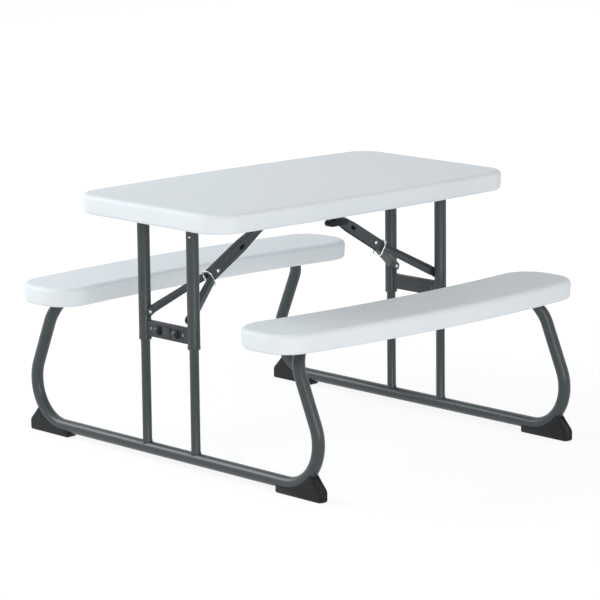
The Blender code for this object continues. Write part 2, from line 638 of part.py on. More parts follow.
def build_rivet(name, low, high, both_heads, place):
    """A rivet along local Z from low to high, with a domed head above and, if wanted, one below."""
    profile = [(0, high + RIVET_HEAD_HEIGHT), (RIVET_HEAD_R * 0.6, high + RIVET_HEAD_HEIGHT * 0.85),
               (RIVET_HEAD_R, high), (PIVOT_R, high), (PIVOT_R, low)]
    if both_heads:
        profile += [(RIVET_HEAD_R, low), (RIVET_HEAD_R * 0.6, low - RIVET_HEAD_HEIGHT * 0.85),
                    (0, low - RIVET_HEAD_HEIGHT)]
    else:
        profile += [(0, low)]
    turned(name, profile, place)


def build_lock_ring(end_name, place):
    """The wire loop that hangs on the arm's top edge and locks the brace straight."""
    along = ARM_LENGTH + RING_AHEAD
    hang = ARM_HALF_HEIGHT + GAP + RING_WIRE_R - RING_HALF_HEIGHT
    loop = rounded_rectangle(RING_HALF_HEIGHT, RING_HALF_WIDTH, RING_CORNER, RING_CORNER, 2)
    path = [place @ Vector((along, hang + height, width)) for height, width in loop]
    bent_tube(end_name + "_lock_ring", path, RING_WIRE_R, WIRE_RINGS, cyclic=True)


def strip(path, width):
    """A strip of even width along a bent line, as an outline."""
    sides = ([], [])
    for i, point in enumerate(path):
        before = (point - path[i - 1]).normalized() if i else (path[1] - point).normalized()
        after = (path[i + 1] - point).normalized() if i + 1 < len(path) else before
        normal = Vector((-before.y - after.y, before.x + after.x)).normalized()
        stretch = width / 2 / normal.dot(Vector((-before.y, before.x)))
        sides[0].append(point + normal * stretch)
        sides[1].append(point - normal * stretch)
    return [tuple(p) for p in sides[0] + sides[1][::-1]]


def build_stay(end_name, end, row_name, row):
    """A lower stay: a bent flat bar from the upright to the end of the upper arm, and its rivet."""
    name = end_name + "_" + row_name + "_stay"
    origin = (end * FRAME_X, 0, BRACE_FOOT_Z)
    up = Vector((-end * cos(BRACE_SLOPE), 0, sin(BRACE_SLOPE)))
    square = Vector((end * sin(BRACE_SLOPE), 0, cos(BRACE_SLOPE)))
    tip = STAY_LENGTH - STAY_TIP_BACK
    plan = [Vector((-STAY_FOOT_R, row * STAY_FOOT_Y)), Vector((STAY_FOOT_LENGTH, row * STAY_FOOT_Y)),
            Vector((tip, row * STAY_TIP_Y))]
    bar = outline_solid(name, strip(plan, STAY_THICKNESS), 4 * STAY_FOOT_R, axis_matrix(origin, up, (0, 1, 0)))
    side = arc((0, 0), STAY_FOOT_R, pi / 2, 3 * pi / 2)
    side += [(STAY_FOOT_LENGTH, -STAY_FOOT_R), (tip + STAY_THICKNESS, -STAY_TIP_HALF_HEIGHT)]
    side += [(tip + STAY_THICKNESS, STAY_TIP_HALF_HEIGHT), (STAY_FOOT_LENGTH, STAY_FOOT_R)]
    side_view = outline_solid(name + "_side", side, 4 * STAY_FOOT_Y, axis_matrix(origin, up, square))
    combine(bar, side_view, "INTERSECT")
    pivot = along_y((end * FRAME_X, row * STAY_FOOT_Y, BRACE_FOOT_Z))
    cut(bar, rod(name + "_hole", PIVOT_R + GAP, 4 * STAY_THICKNESS, pivot))
    inward = axis_matrix((end * FRAME_X, 0, BRACE_FOOT_Z), (row * end, 0, 0), (0, 0, end))
    build_rivet(name + "_rivet", -(UPRIGHT_Y - UPPER_TUBE_R - GAP),
                -(STAY_FOOT_Y - STAY_THICKNESS / 2 - GAP), False, inward)


def build_centre_bracket():
    """The bracket under the middle of the deck that both upper arms hang from."""
    plate_z = TOP_UNDERSIDE - GAP - BRACKET_PLATE
    bracket = box("centre_bracket", (-BRACKET_LENGTH / 2, -BRACKET_WIDTH / 2, plate_z),
                  (BRACKET_LENGTH / 2, BRACKET_WIDTH / 2, plate_z + BRACKET_PLATE))
    ear = arc((-BRACE_TOP_X, BRACE_TOP_Z), BRACKET_EAR_R, pi, 3 * pi / 2)
    ear += arc((BRACE_TOP_X, BRACE_TOP_Z), BRACKET_EAR_R, 3 * pi / 2, 2 * pi)
    top = plate_z + BRACKET_PLATE / 2
    ear += [(BRACE_TOP_X + BRACKET_EAR_R, top), (-BRACE_TOP_X - BRACKET_EAR_R, top)]
    for row_name, row in ROWS:
        y = row * (ARM_HALF_WIDTH + SLIDING_GAP + BRACKET_PLATE / 2)
        place = axis_matrix((0, y, 0), (1, 0, 0), (0, 0, 1))
        join(bracket, outline_solid("centre_bracket_" + row_name + "_ear", ear, BRACKET_PLATE, place))
    for end_name, end in ENDS:
        hole = along_y((end * BRACE_TOP_X, 0, BRACE_TOP_Z))
        cut(bracket, rod("centre_bracket_" + end_name + "_hole", PIVOT_R + GAP, BRACKET_WIDTH, hole))


def build_tube_clips():
    """Two clips under the deck that steady the floor tubes when the table is folded."""
    top = TOP_UNDERSIDE - GAP
    lobe = CLIP_LOBE_HALF - CLIP_LOBE_R
    half = [(CLIP_BASE_HALF, top), (CLIP_BASE_HALF, top - CLIP_BASE), (CLIP_STEM_HALF, top - CLIP_BASE),
            (CLIP_STEM_HALF, CLIP_LOBE_Z + CLIP_LOBE_R)]
    half += arc((lobe, CLIP_LOBE_Z), CLIP_LOBE_R, pi / 2, -pi / 2)
    outline = half + [(-x, z) for x, z in half[::-1]]
    for row_name, row in ROWS:
        place = axis_matrix((0, row * CLIP_Y, 0), (1, 0, 0), (0, 0, 1))
        outline_solid(row_name + "_tube_clip", outline, CLIP_WIDTH, place)


def finish(parents, materials):
    """Give each part its material, smooth shading and the empty of the joint that it moves with."""
    for obj in PARTS.objects:
        if obj.type != "MESH":
            continue
        obj.data.materials.append(next(mat for words, mat in materials if any(w in obj.name for w in words)))
        obj.data.shade_smooth()
        obj.data.set_sharp_from_angle(angle=radians(35))
        empty = next((axis for test, axis in parents if test(obj.name)), None)
        if empty:
            obj.parent = empty
            obj.matrix_parent_inverse = empty.matrix_world.inverted()


def joint_axis(name, place, parent=None):
    """An empty on a joint's axis, carried by the axis of the joint before it."""
    empty = bpy.data.objects.new(name, None)
    empty.empty_display_size = 0.03
    PARTS.objects.link(empty)
    empty.matrix_world = Matrix.Translation(place)
    if parent:
        empty.parent = parent
        empty.matrix_parent_inverse = parent.matrix_world.inverted()
    return empty


def has(*words):
    """A test that a part's name holds all the words."""
    return lambda name: all(word in name for word in words)


def joint_axes():
    """The tree of joint axes, with the test for the parts that each one carries."""
    parents = []
    benches = []
    for end_name, end in ENDS:
        fold = joint_axis(end_name + "_fold_axis", (end * HINGE_X, 0, HINGE_Z))
        slide = joint_axis(end_name + "_telescope_axis", (end * FRAME_X, 0, UPPER_TUBE_LOW), fold)
        stay = joint_axis(end_name + "_stay_axis", (end * FRAME_X, 0, BRACE_FOOT_Z), fold)
        arm = joint_axis(end_name + "_arm_axis", (end * BRACE_TOP_X, 0, BRACE_TOP_Z))
        if end < 0:
            for row_name, row in ROWS:
                place = (end * HINGE_X, row * BENCH_HINGE_Y, BENCH_HINGE_Z)
                benches.append((has(row_name, "bench"), joint_axis(row_name + "_bench_axis", place, slide)))
        parents.append((has(end_name, "_stay_rivet"), fold))
        if end > 0:
            parents.append((has(end_name, "_hinge_pin"), slide))
        parents += [(has(end_name, "_stay"), stay), (has(end_name, "_upper_arm"), arm),
                    (has(end_name, "_lock_ring"), arm), (has(end_name, "_middle_rivet"), arm)]
        parents += [(has(end_name, piece), slide) for piece in ("_floor_tube", "_lower_tube", "_foot")]
        parents += [(has(end_name, piece), fold) for piece in ("_upper_tube", "_axle", "_latch")]
    return parents + benches


def main():
    build_panels()
    build_centre_bracket()
    build_tube_clips()
    for end_name, end in ENDS:
        build_top_hinge(end_name, end)
        build_latch_bar(end_name, end)
        build_floor_tube(end_name, end)
        build_upper_arm(end_name, end)
        for row_name, row in ROWS:
            build_upper_tube(end_name, end, row_name, row)
            build_lower_tube(end_name, end, row_name, row)
            build_foot(end_name, end, row_name, row)
            build_bench_hinge(end_name, end, row_name, row)
            build_stay(end_name, end, row_name, row)
    moulded = material("pale_polyethylene", (0.66, 0.71, 0.75), 0.45)
    black = material("black_plastic", (0.03, 0.03, 0.033), 0.5)
    zinc = material("zinc_plate", (0.75, 0.75, 0.73), 0.3, 1.0)
    steel = material("grey_powder_coat", (0.07, 0.08, 0.085), 0.4)
    finish(joint_axes(), [
        (("rivet", "bolt", "_pin", "lock_ring"), zinc),
        (("foot", "latch", "clip", "saddle"), black),
        (("tube", "axle", "hinge", "bracket", "arm", "stay"), steel),
        (("table_top", "bench"), moulded),
    ])


clear_scene()
PARTS = new_collection("kids_picnic_table")
CUTTERS = new_collection("cutters")
main()
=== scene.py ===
"""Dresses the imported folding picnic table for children: moulded panels, coated tubes, fittings and a studio."""
import json
from math import asin, atan2, cos, hypot, pi, radians, sin, tan

import bpy
from bpy.props import FloatProperty, FloatVectorProperty, IntProperty, PointerProperty
from mathutils import Matrix, Vector


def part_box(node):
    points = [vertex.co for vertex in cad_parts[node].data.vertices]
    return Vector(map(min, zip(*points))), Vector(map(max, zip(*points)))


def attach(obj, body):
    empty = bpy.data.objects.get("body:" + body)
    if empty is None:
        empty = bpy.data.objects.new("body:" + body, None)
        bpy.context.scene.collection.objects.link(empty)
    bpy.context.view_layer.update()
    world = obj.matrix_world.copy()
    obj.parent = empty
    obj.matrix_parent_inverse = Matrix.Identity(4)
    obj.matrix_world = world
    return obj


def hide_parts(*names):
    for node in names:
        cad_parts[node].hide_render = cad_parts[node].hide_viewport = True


bl_info = {
    "name": "Folding picnic table",
    "version": (1, 0, 0),
    "blender": (4, 5, 0),
    "location": "View3D > Sidebar > Picnic Table",
    "description": "Models the visible pieces of a folding children's picnic table on its packed frame",
    "category": "Object",
}

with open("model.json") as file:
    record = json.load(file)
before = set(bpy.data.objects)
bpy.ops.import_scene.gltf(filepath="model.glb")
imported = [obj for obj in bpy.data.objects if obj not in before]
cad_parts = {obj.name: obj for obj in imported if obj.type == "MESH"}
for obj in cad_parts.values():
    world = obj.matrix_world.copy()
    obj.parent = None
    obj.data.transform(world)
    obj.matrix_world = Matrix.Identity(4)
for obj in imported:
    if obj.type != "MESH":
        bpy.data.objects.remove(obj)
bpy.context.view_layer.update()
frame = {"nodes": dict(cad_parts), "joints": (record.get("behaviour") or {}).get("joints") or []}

ENDS = (("left", -1), ("right", 1))
ROWS = (("front", -1), ("rear", 1))
CORNERS = [(end_name + "_" + row_name, end_name, end, row)
           for end_name, end in ENDS for row_name, row in ROWS]
JOINTS = {joint["name"]: joint for joint in frame["joints"]}
X_AXIS = Vector((1, 0, 0))


def joint_place(name):
    """Where a hinge's axis passes, as x, y and z without their signs."""
    return [abs(value) for value in JOINTS[name]["pos_m"]]


# Places that the frame gives
HINGE_X, _, HINGE_Z = joint_place("left_leg_fold")
BENCH_HINGE_X, BENCH_HINGE_Y, BENCH_HINGE_Z = joint_place("front_bench_swivel")
FRAME_X, _, STAY_Z = joint_place("left_stay_swing")
ARM_TOP_X, _, ARM_TOP_Z = joint_place("left_upper_arm_swing")
TOP_LOW, TOP_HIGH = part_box("table_top")
BENCH_LOW, BENCH_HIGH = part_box("front_bench")
TUBE_LOW, TUBE_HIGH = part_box("left_front_upper_tube")
BAR_LOW, BAR_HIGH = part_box("left_latch_bar")
SLIDE_LOW, SLIDE_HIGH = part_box("left_front_latch_slide")
BRACE_SLOPE = atan2(ARM_TOP_Z - STAY_Z, FRAME_X - ARM_TOP_X)
UPRIGHT_Y = -(TUBE_LOW.y + TUBE_HIGH.y) / 2

# Places along the bent leg tubes and the brace, in metres
FLOOR_TUBE_Z = 0.0213
FLOOR_BEND_Y = 0.3374
FLOOR_BEND_R = 0.088
LEG_LEAN = radians(23.8)
KNEE_Z = 0.236
KNEE_R = 0.060
KNEE_ANGLE = radians(32)
ARM_MID_X = 0.221
ARM_HALF_WIDTH = 0.0075
ARM_HALF_HEIGHT = 0.012
BRACE_RUN = (FRAME_X - ARM_MID_X) / cos(BRACE_SLOPE)
ARM_RUN = (ARM_MID_X - ARM_TOP_X) / cos(BRACE_SLOPE)


# Settings

def length(name, description, default):
    """A length for the sidebar."""
    return FloatProperty(name=name, description=description, default=default, unit="LENGTH")


def paint(name, description, *default):
    """A colour for the sidebar."""
    return FloatVectorProperty(name=name, description=description, default=(*default, 1.0),
                               subtype="COLOR", size=4, min=0.0, max=1.0)


class PicnicTableSizes(bpy.types.PropertyGroup):
    """Sizes of the visible pieces."""
    top_deck: length("Top deck", "Thickness of the top inside its rim", 0.0204)
    top_wall: length("Top rim wall", "Width of the top's rim underneath", 0.024)
    top_corner: length("Top corner", "Corner radius of the top", 0.056)
    top_bow: length("Top bow", "Swell of each long side of the top", 0.014)
    bench_width: length("Bench width", "Width of a bench", 0.1645)
    bench_deck: length("Bench deck", "Thickness of a bench inside its rim", 0.016)
    bench_wall: length("Bench rim wall", "Width of a bench's rim underneath", 0.020)
    bench_outer_corner: length("Bench outer corner", "Corner radius on a bench's outer side", 0.058)
    bench_inner_corner: length("Bench inner corner", "Corner radius on a bench's inner side", 0.076)
    bench_bow: length("Bench bow", "Outward bow of a bench", 0.0251)
    bench_bow_span: length("Bench bow span", "Distance from the middle where the bow is nil", 0.370)
    top_round: length("Upper edge", "Rounding of the panels' upper edges", 0.010)
    low_round: length("Lower edge", "Rounding of the panels' lower edges", 0.007)
    tube_radius: length("Tube radius", "Outer radius of the upper and floor tubes", 0.0126)
    lower_tube_radius: length("Lower tube radius", "Outer radius of the lower tubes", 0.0094)
    tube_wall: length("Tube wall", "Wall of the upper tubes", 0.0015)
    ring_wire: length("Lock ring wire", "Radius of the lock rings' wire", 0.0016)
    stay_thickness: length("Stay thickness", "Sheet thickness of the stays", 0.003)
    foot_half_width: length("Foot half width", "Half the width of a foot", 0.0115)
    sides: IntProperty(name="Tube sides", description="Sides of the round tubes", default=40, min=12, max=96)


class PicnicTableColours(bpy.types.PropertyGroup):
    """Colours of the finishes."""
    panel: paint("Panels", "Moulded top and benches", 0.742, 0.785, 0.812)
    coat: paint("Powder coat", "Tubes, arms, stays and brackets", 0.041, 0.051, 0.055)
    black: paint("Black plastic", "Feet, saddles and clips", 0.0056, 0.0070, 0.0086)
    latch: paint("Latch plastic", "Latch bars and slides", 0.040, 0.044, 0.050)
    zinc: paint("Zinc", "Rivets, pins and lock rings", 0.78, 0.79, 0.79)
    dark_zinc: paint("Dark zinc", "Bolts of the latch bars", 0.22, 0.225, 0.23)


def sizes():
    return bpy.context.scene.picnic_table_sizes


def colours():
    return bpy.context.scene.picnic_table_colours


# Modelling helpers

def begin():
    """Object mode with nothing selected, before a primitive is added."""
    if bpy.context.mode != "OBJECT":
        bpy.ops.object.mode_set(mode="OBJECT")
    bpy.ops.object.select_all(action="DESELECT")


def pick(piece):
    """Select one piece and make it the active one."""
    begin()
    piece.select_set(True)
    bpy.context.view_layer.objects.active = piece


def named(name):
    piece = bpy.context.active_object
    piece.name = name
    piece.data.name = name
    return piece


def close_up(fill):
    """Merge the seam of the active mesh, fill its ends if asked, and turn its faces outwards."""
    bpy.ops.object.mode_set(mode="EDIT")
    bpy.ops.mesh.select_all(action="SELECT")
    bpy.ops.mesh.remove_doubles(threshold=1e-6)
    if fill:
        bpy.ops.mesh.fill_holes(sides=0)
    bpy.ops.mesh.select_all(action="SELECT")
    bpy.ops.mesh.normals_make_consistent(inside=False)
    bpy.ops.object.mode_set(mode="OBJECT")


def skin(name, rings, closed=False):
    """Roll a grid into a skin over rings of points, its ends closed or joined to each other."""
    begin()
    around = len(rings[0])
    rows = len(rings) if closed else len(rings) - 1
    bpy.ops.mesh.primitive_grid_add(x_subdivisions=around, y_subdivisions=rows, size=1.0)
    piece = named(name)
    for vertex in piece.data.vertices:
        column = round((vertex.co.x + 0.5) * around) % around
        row = round((vertex.co.y + 0.5) * rows) % len(rings)
        vertex.co = rings[row][column]
    close_up(not closed)
    return piece


def slab(name, outline, thickness, matrix, edge=0.0, segments=3):
    """Fill an outline in local XY, extrude it evenly both ways along local Z and round its edges."""
    begin()
    bpy.ops.mesh.primitive_circle_add(vertices=len(outline), radius=1.0, fill_type="NGON")
    piece = named(name)
    for vertex, (x, y) in zip(piece.data.vertices, outline):
        vertex.co = matrix @ Vector((x, y, -thickness / 2))
    push = matrix.to_3x3() @ Vector((0, 0, thickness))
    bpy.ops.object.mode_set(mode="EDIT")
    bpy.ops.mesh.select_all(action="SELECT")
    bpy.ops.mesh.extrude_region_move(TRANSFORM_OT_translate={"value": push})
    bpy.ops.object.mode_set(mode="OBJECT")
    close_up(False)
    if edge:
        round_edges(piece, edge, segments)
    return piece


def bevel_edges(piece, width, segments, angle=40):
    bevel = piece.modifiers.new("rounded", "BEVEL")
    bevel.width = width
    bevel.segments = segments
    bevel.limit_method = "ANGLE"
    bevel.angle_limit = radians(angle)
    return bevel


def round_edges(piece, width, segments, angle=40):
    bevel = bevel_edges(piece, width, segments, angle)
    apply_modifier(piece, bevel.name)


def apply_modifier(piece, modifier):
    pick(piece)
    bpy.ops.object.modifier_apply(modifier=modifier)


def carve(piece, tool):
    """Cut a tool out of a piece and delete the tool."""
    boolean = piece.modifiers.new("carve", "BOOLEAN")
    boolean.operation = "DIFFERENCE"
    boolean.object = tool
    boolean.solver = "EXACT"
    apply_modifier(piece, boolean.name)
    begin()
    tool.select_set(True)
    bpy.ops.object.delete()


def merge(piece, *others):
    """Make several shells one piece."""
    pick(piece)
    for other in others:
        other.select_set(True)
    bpy.ops.object.join()
    return piece


def dress(piece, finish, body, *nodes, angle=35):
    """Shade a finished piece, give it its finish, and let it ride in the place of its CAD nodes."""
    pick(piece)
    bpy.ops.object.shade_smooth_by_angle(angle=radians(angle))
    piece.data.materials.clear()
    piece.data.materials.append(FINISHES[finish])
    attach(piece, body)
    if nodes:
        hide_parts(*nodes)


def keep_node(node, finish, edge):
    """Keep a CAD node's shape, with its material and softly broken edges."""
    obj = frame["nodes"][node]
    obj.data.materials.clear()
    obj.data.materials.append(FINISHES[finish])
    weld = obj.modifiers.new("weld", "WELD")
    weld.merge_threshold = 1e-5
    flats = obj.modifiers.new("flats", "DECIMATE")
    flats.decimate_type = "DISSOLVE"
    flats.angle_limit = radians(1)
    bevel_edges(obj, edge, 2)
    for polygon in obj.data.polygons:
        polygon.use_smooth = True
    split = obj.modifiers.new("creases", "EDGE_SPLIT")
    split.split_angle = radians(32)


def axis_matrix(origin, x_axis, y_axis):
    """A placement whose local X and Y lie along two square world directions."""
    x_axis = Vector(x_axis)
    y_axis = Vector(y_axis)
    turn = Matrix((x_axis, y_axis, x_axis.cross(y_axis))).transposed()
    return Matrix.Translation(origin) @ turn.to_4x4()


def along_y(origin):
    return axis_matrix(origin, (0, 0, 1), (1, 0, 0))


def along_x(origin, end):
    return axis_matrix(origin, (0, end, 0), (0, 0, 1))


def quarter(steps):
    """Angles of a quarter turn in even steps."""
    return [pi / 2 * i / steps for i in range(steps + 1)]


def circle(radius, height, count):
    angles = [2 * pi * i / count for i in range(count)]
    return [Vector((radius * cos(a), radius * sin(a), height)) for a in angles]


def turned(name, profile, matrix, count=32, closed=False):
    """A turned shape from pairs of radius and height along local Z."""
    return skin(name, [[matrix @ p for p in circle(r, h, count)] for r, h in profile], closed)


def drill(piece, radius, matrix):
    """Drill a round hole along local Z right through a piece."""
    reach = 0.02
    carve(piece, turned("drill", [(radius, reach), (radius, -reach)], matrix))


def rectangle(start, end, half_height):
    return [(start, half_height), (start, -half_height), (end, -half_height), (end, half_height)]


def arc(centre, radius, start, end, step=radians(6)):
    count = max(2, round(abs(end - start) / step))
    angles = [start + (end - start) * i / count for i in range(count + 1)]
    return [(centre[0] + radius * cos(a), centre[1] + radius * sin(a)) for a in angles]


def rounded_path(points, radii, step=radians(5)):
    """A path through corner points, each inner corner rounded to its radius."""
    path = [Vector(points[0])]
    for before, corner, after, radius in zip(points, points[1:], points[2:], radii):
        corner = Vector(corner)
        back = (Vector(before) - corner).normalized()
        ahead = (Vector(after) - corner).normalized()
        turn = pi - back.angle(ahead)
        centre = corner + (back + ahead).normalized() * radius / cos(turn / 2)
        start = corner + back * radius * tan(turn / 2) - centre
        axis = back.cross(ahead)
        count = max(2, round(turn / step))
        path += [centre + Matrix.Rotation(-turn * i / count, 3, axis) @ start for i in range(count + 1)]
    return path + [Vector(points[-1])]


def tube_rings(path, halves, count, start, closed=False):
    """Sections along a path, carried on without twist. Halves gives the two half widths at a point's number."""
    rings = []
    side = start
    total = len(path)
    angles = [2 * pi * k / count for k in range(count)]
    for i, place in enumerate(path):
        before = path[i - 1] if i or closed else place
        after = path[(i + 1) % total] if i + 1 < total or closed else place
        way = (after - before).normalized()
        side = (side - way * side.dot(way)).normalized()
        across = way.cross(side)
        wide, deep = halves(i)
        rings.append([place + side * (wide * cos(a)) + across * (deep * sin(a)) for a in angles])
    return rings


def rounded_rectangle(half_x, half_y, high_corner, low_corner, side_steps, step=radians(6)):
    """A rounded rectangle's outline, its long sides divided so that they can be bowed."""
    outline = []
    for sx, sy, start in ((1, 1, 0), (-1, 1, pi / 2), (-1, -1, pi), (1, -1, 3 * pi / 2)):
        corner = high_corner if sy > 0 else low_corner
        cx = half_x - corner
        outline += arc((sx * cx, sy * (half_y - corner)), corner, start, start + pi / 2, step)
        if start in (0, pi):
            outline += [(sx * cx * (1 - 2 * i / side_steps), sy * half_y) for i in range(1, side_steps)]
    return outline


# Moulded panels

PANEL_STEPS = 28
ROUND_STEPS = 7
LIP_STEPS = 3

# Dimples underneath: their places, then radius and depth
TOP_DIMPLES_X = (-0.3675, -0.2625, -0.1575, -0.0525, 0.0525, 0.1575, 0.2625, 0.3675)
TOP_DIMPLES_Y = (-0.195, -0.0975, 0.0975, 0.195)
TOP_DIMPLE = (0.013, 0.009)
BENCH_DIMPLES_X = (-0.24, -0.16, -0.08, 0.0, 0.08, 0.16, 0.24)
BENCH_DIMPLES_Y = (-0.03, 0.03)
BENCH_DIMPLE = (0.011, 0.007)
OUTER_DIMPLE_Y = 0.15
CORNER_DIMPLE_X = 0.30
CLIP_HALF_X = 0.06


def top_outline(inset):
    """The top's plan, each long side swelling evenly towards the middle."""
    half_x = TOP_HIGH.x - inset
    half_y = TOP_HIGH.y - sizes().top_bow - inset
    corner = sizes().top_corner - inset
    plain = rounded_rectangle(half_x, half_y, corner, corner, PANEL_STEPS)
    return [(x, y * (1 + sizes().top_bow / half_y * (1 - (x / half_x) ** 2))) for x, y in plain]


def bench_point(x, y, row):
    """A point of a bench's plan, bowed outwards with it. Y counts outwards from the bench's middle line."""
    bow = sizes().bench_bow
    middle = -BENCH_LOW.y - bow - sizes().bench_width / 2
    return x, row * (middle + y + bow * (1 - (x / sizes().bench_bow_span) ** 2))


def bench_outline(inset, row):
    """A bench's plan, bowed outwards as a whole."""
    half_x = BENCH_HIGH.x - inset
    half_y = sizes().bench_width / 2 - inset
    outer_corner = sizes().bench_outer_corner - inset
    inner_corner = sizes().bench_inner_corner - inset
    plain = rounded_rectangle(half_x, half_y, outer_corner, inner_corner, PANEL_STEPS)
    return [bench_point(x, y, row) for x, y in plain]


def panel_profile(low, high, deck, wall):
    """A panel's section from its flat round the rim to the deck inside: pairs of inset and height."""
    top_round = sizes().top_round
    low_round = sizes().low_round
    lip = 0.003
    flat = 0.002
    draft = 0.0012
    deck_z = high - deck
    section = [(top_round + flat, high)]
    section += [(top_round * (1 - sin(a)), high - top_round * (1 - cos(a))) for a in quarter(ROUND_STEPS)]
    section += [(draft + low_round * (1 - cos(a)), low + low_round * (1 - sin(a))) for a in quarter(ROUND_STEPS)]
    section += [(wall - lip + lip * sin(a), low + lip * (1 - cos(a))) for a in quarter(LIP_STEPS)]
    section += [(wall + lip * (1 - cos(a)), deck_z - lip + lip * sin(a)) for a in quarter(LIP_STEPS)]
    return section + [(wall + lip + flat, deck_z)]


def moulded_panel(name, outline, low, high, deck, wall):
    """Skin a panel over its plan, one ring for each step of its section."""
    profile = panel_profile(low, high, deck, wall)
    return skin(name, [[Vector((x, y, z)) for x, y in outline(inset)] for inset, z in profile])


def press_dimples(panel, places, deck_z, radius, depth):
    """Press round tack-off dimples up into a panel's underside."""
    shape = ((0, 1), (0.45, 1), (0.6, 0.85), (1, -0.2), (0, -0.2))
    profile = [(radius * across, depth * up) for across, up in shape]
    punches = [turned("dimple_punch", profile, Matrix.Translation((x, y, deck_z)), 16) for x, y in places]
    carve(panel, merge(*punches))


# Finishes

FINISHES = {}
SPECKLE_SCALE = 1500.0
SPECKLE_SPAN = (0.35, 0.65)
CLOUD_STRENGTH = 0.5


def new_group(name, inputs, outputs):
    """An empty shader node group that takes coordinates and some numbers and gives some numbers."""
    group = bpy.data.node_groups.new(name, "ShaderNodeTree")
    sockets = group.interface
    sockets.new_socket("Coordinates", in_out="INPUT", socket_type="NodeSocketVector")
    for label, value in inputs.items():
        sockets.new_socket(label, in_out="INPUT", socket_type="NodeSocketFloat").default_value = value
    for label in outputs:
        sockets.new_socket(label, in_out="OUTPUT", socket_type="NodeSocketFloat")
    return group, group.nodes.new("NodeGroupInput").outputs, group.nodes.new("NodeGroupOutput").inputs


def feed(tree, socket, value):
    """Give a socket a plain value, or link it to another node."""
    if isinstance(value, bpy.types.NodeSocket):
        tree.links.new(value, socket)
    else:
        socket.default_value = value


def math_node(tree, operation, first, second):
    node = tree.nodes.new("ShaderNodeMath")
    node.operation = operation
    feed(tree, node.inputs[0], first)
    feed(tree, node.inputs[1], second)
    return node.outputs[0]


def ranged(tree, value, low, high, to_low, to_high):
    node = tree.nodes.new("ShaderNodeMapRange")
    for label, number in (("Value", value), ("From Min", low), ("From Max", high),
                          ("To Min", to_low), ("To Max", to_high)):
        feed(tree, node.inputs[label], number)
    return node.outputs["Result"]


def noise(tree, vector, scale, detail, rough=0.5):
    node = tree.nodes.new("ShaderNodeTexNoise")
    for label, value in (("Vector", vector), ("Scale", scale), ("Detail", detail), ("Roughness", rough)):
        feed(tree, node.inputs[label], value)
    return node.outputs["Fac"]


def mix_colour(tree, factor, first, second):
    node = tree.nodes.new("ShaderNodeMix")
    node.data_type = "RGBA"
    for number, value in ((0, factor), (6, first), (7, second)):
        feed(tree, node.inputs[number], value)
    return node.outputs[2]


def pebble_group():
    """Pebbled moulded skin: a height for the bump and a slow blotchy tone."""
    inputs = {"Pebbles": 700.0, "Blotches": 7.0}
    group, given, result = new_group("pebbled_skin", inputs, ("Height", "Tone"))
    fine_share = 0.45
    place = given["Coordinates"]
    cells = group.nodes.new("ShaderNodeTexVoronoi")
    cells.feature = "SMOOTH_F1"
    cells.inputs["Smoothness"].default_value = 0.7
    feed(group, cells.inputs["Vector"], place)
    feed(group, cells.inputs["Scale"], given["Pebbles"])
    fine = noise(group, place, math_node(group, "MULTIPLY", given["Pebbles"], fine_share), 3.0)
    feed(group, result["Height"], math_node(group, "ADD", cells.outputs["Distance"], fine))
    blotch = noise(group, place, given["Blotches"], 4.0, 0.55)
    feed(group, result["Tone"], ranged(group, blotch, 0.3, 0.7, 0.0, 1.0))
    return group


def mark_group():
    """Handling marks: a sparse mask of fine scuffs and rubs."""
    inputs = {"Patches": 9.0, "Scratches": 160.0, "Cover": 0.6}
    group, given, result = new_group("handling_marks", inputs, ("Mask",))
    patch = noise(group, given["Coordinates"], given["Patches"], 3.0, 0.6)
    stretch = group.nodes.new("ShaderNodeMapping")
    stretch.inputs["Rotation"].default_value = (0.4, 0.7, 0.5)
    stretch.inputs["Scale"].default_value = (1.0, 0.12, 0.35)
    feed(group, stretch.inputs["Vector"], given["Coordinates"])
    scratch = noise(group, stretch.outputs["Vector"], given["Scratches"], 4.0, 0.65)
    where = math_node(group, "GREATER_THAN", patch, given["Cover"])
    soft = math_node(group, "MULTIPLY", where, ranged(group, scratch, 0.52, 0.68, 0.0, 1.0))
    feed(group, result["Mask"], soft)
    return group


def add_group(tree, group, place, **values):
    node = tree.nodes.new("ShaderNodeGroup")
    node.node_tree = group
    feed(tree, node.inputs["Coordinates"], place)
    for label, value in values.items():
        feed(tree, node.inputs[label], value)
    return node.outputs


def shade(colour, share):
    return tuple(min(1.0, value * share) for value in colour[:3]) + (1.0,)


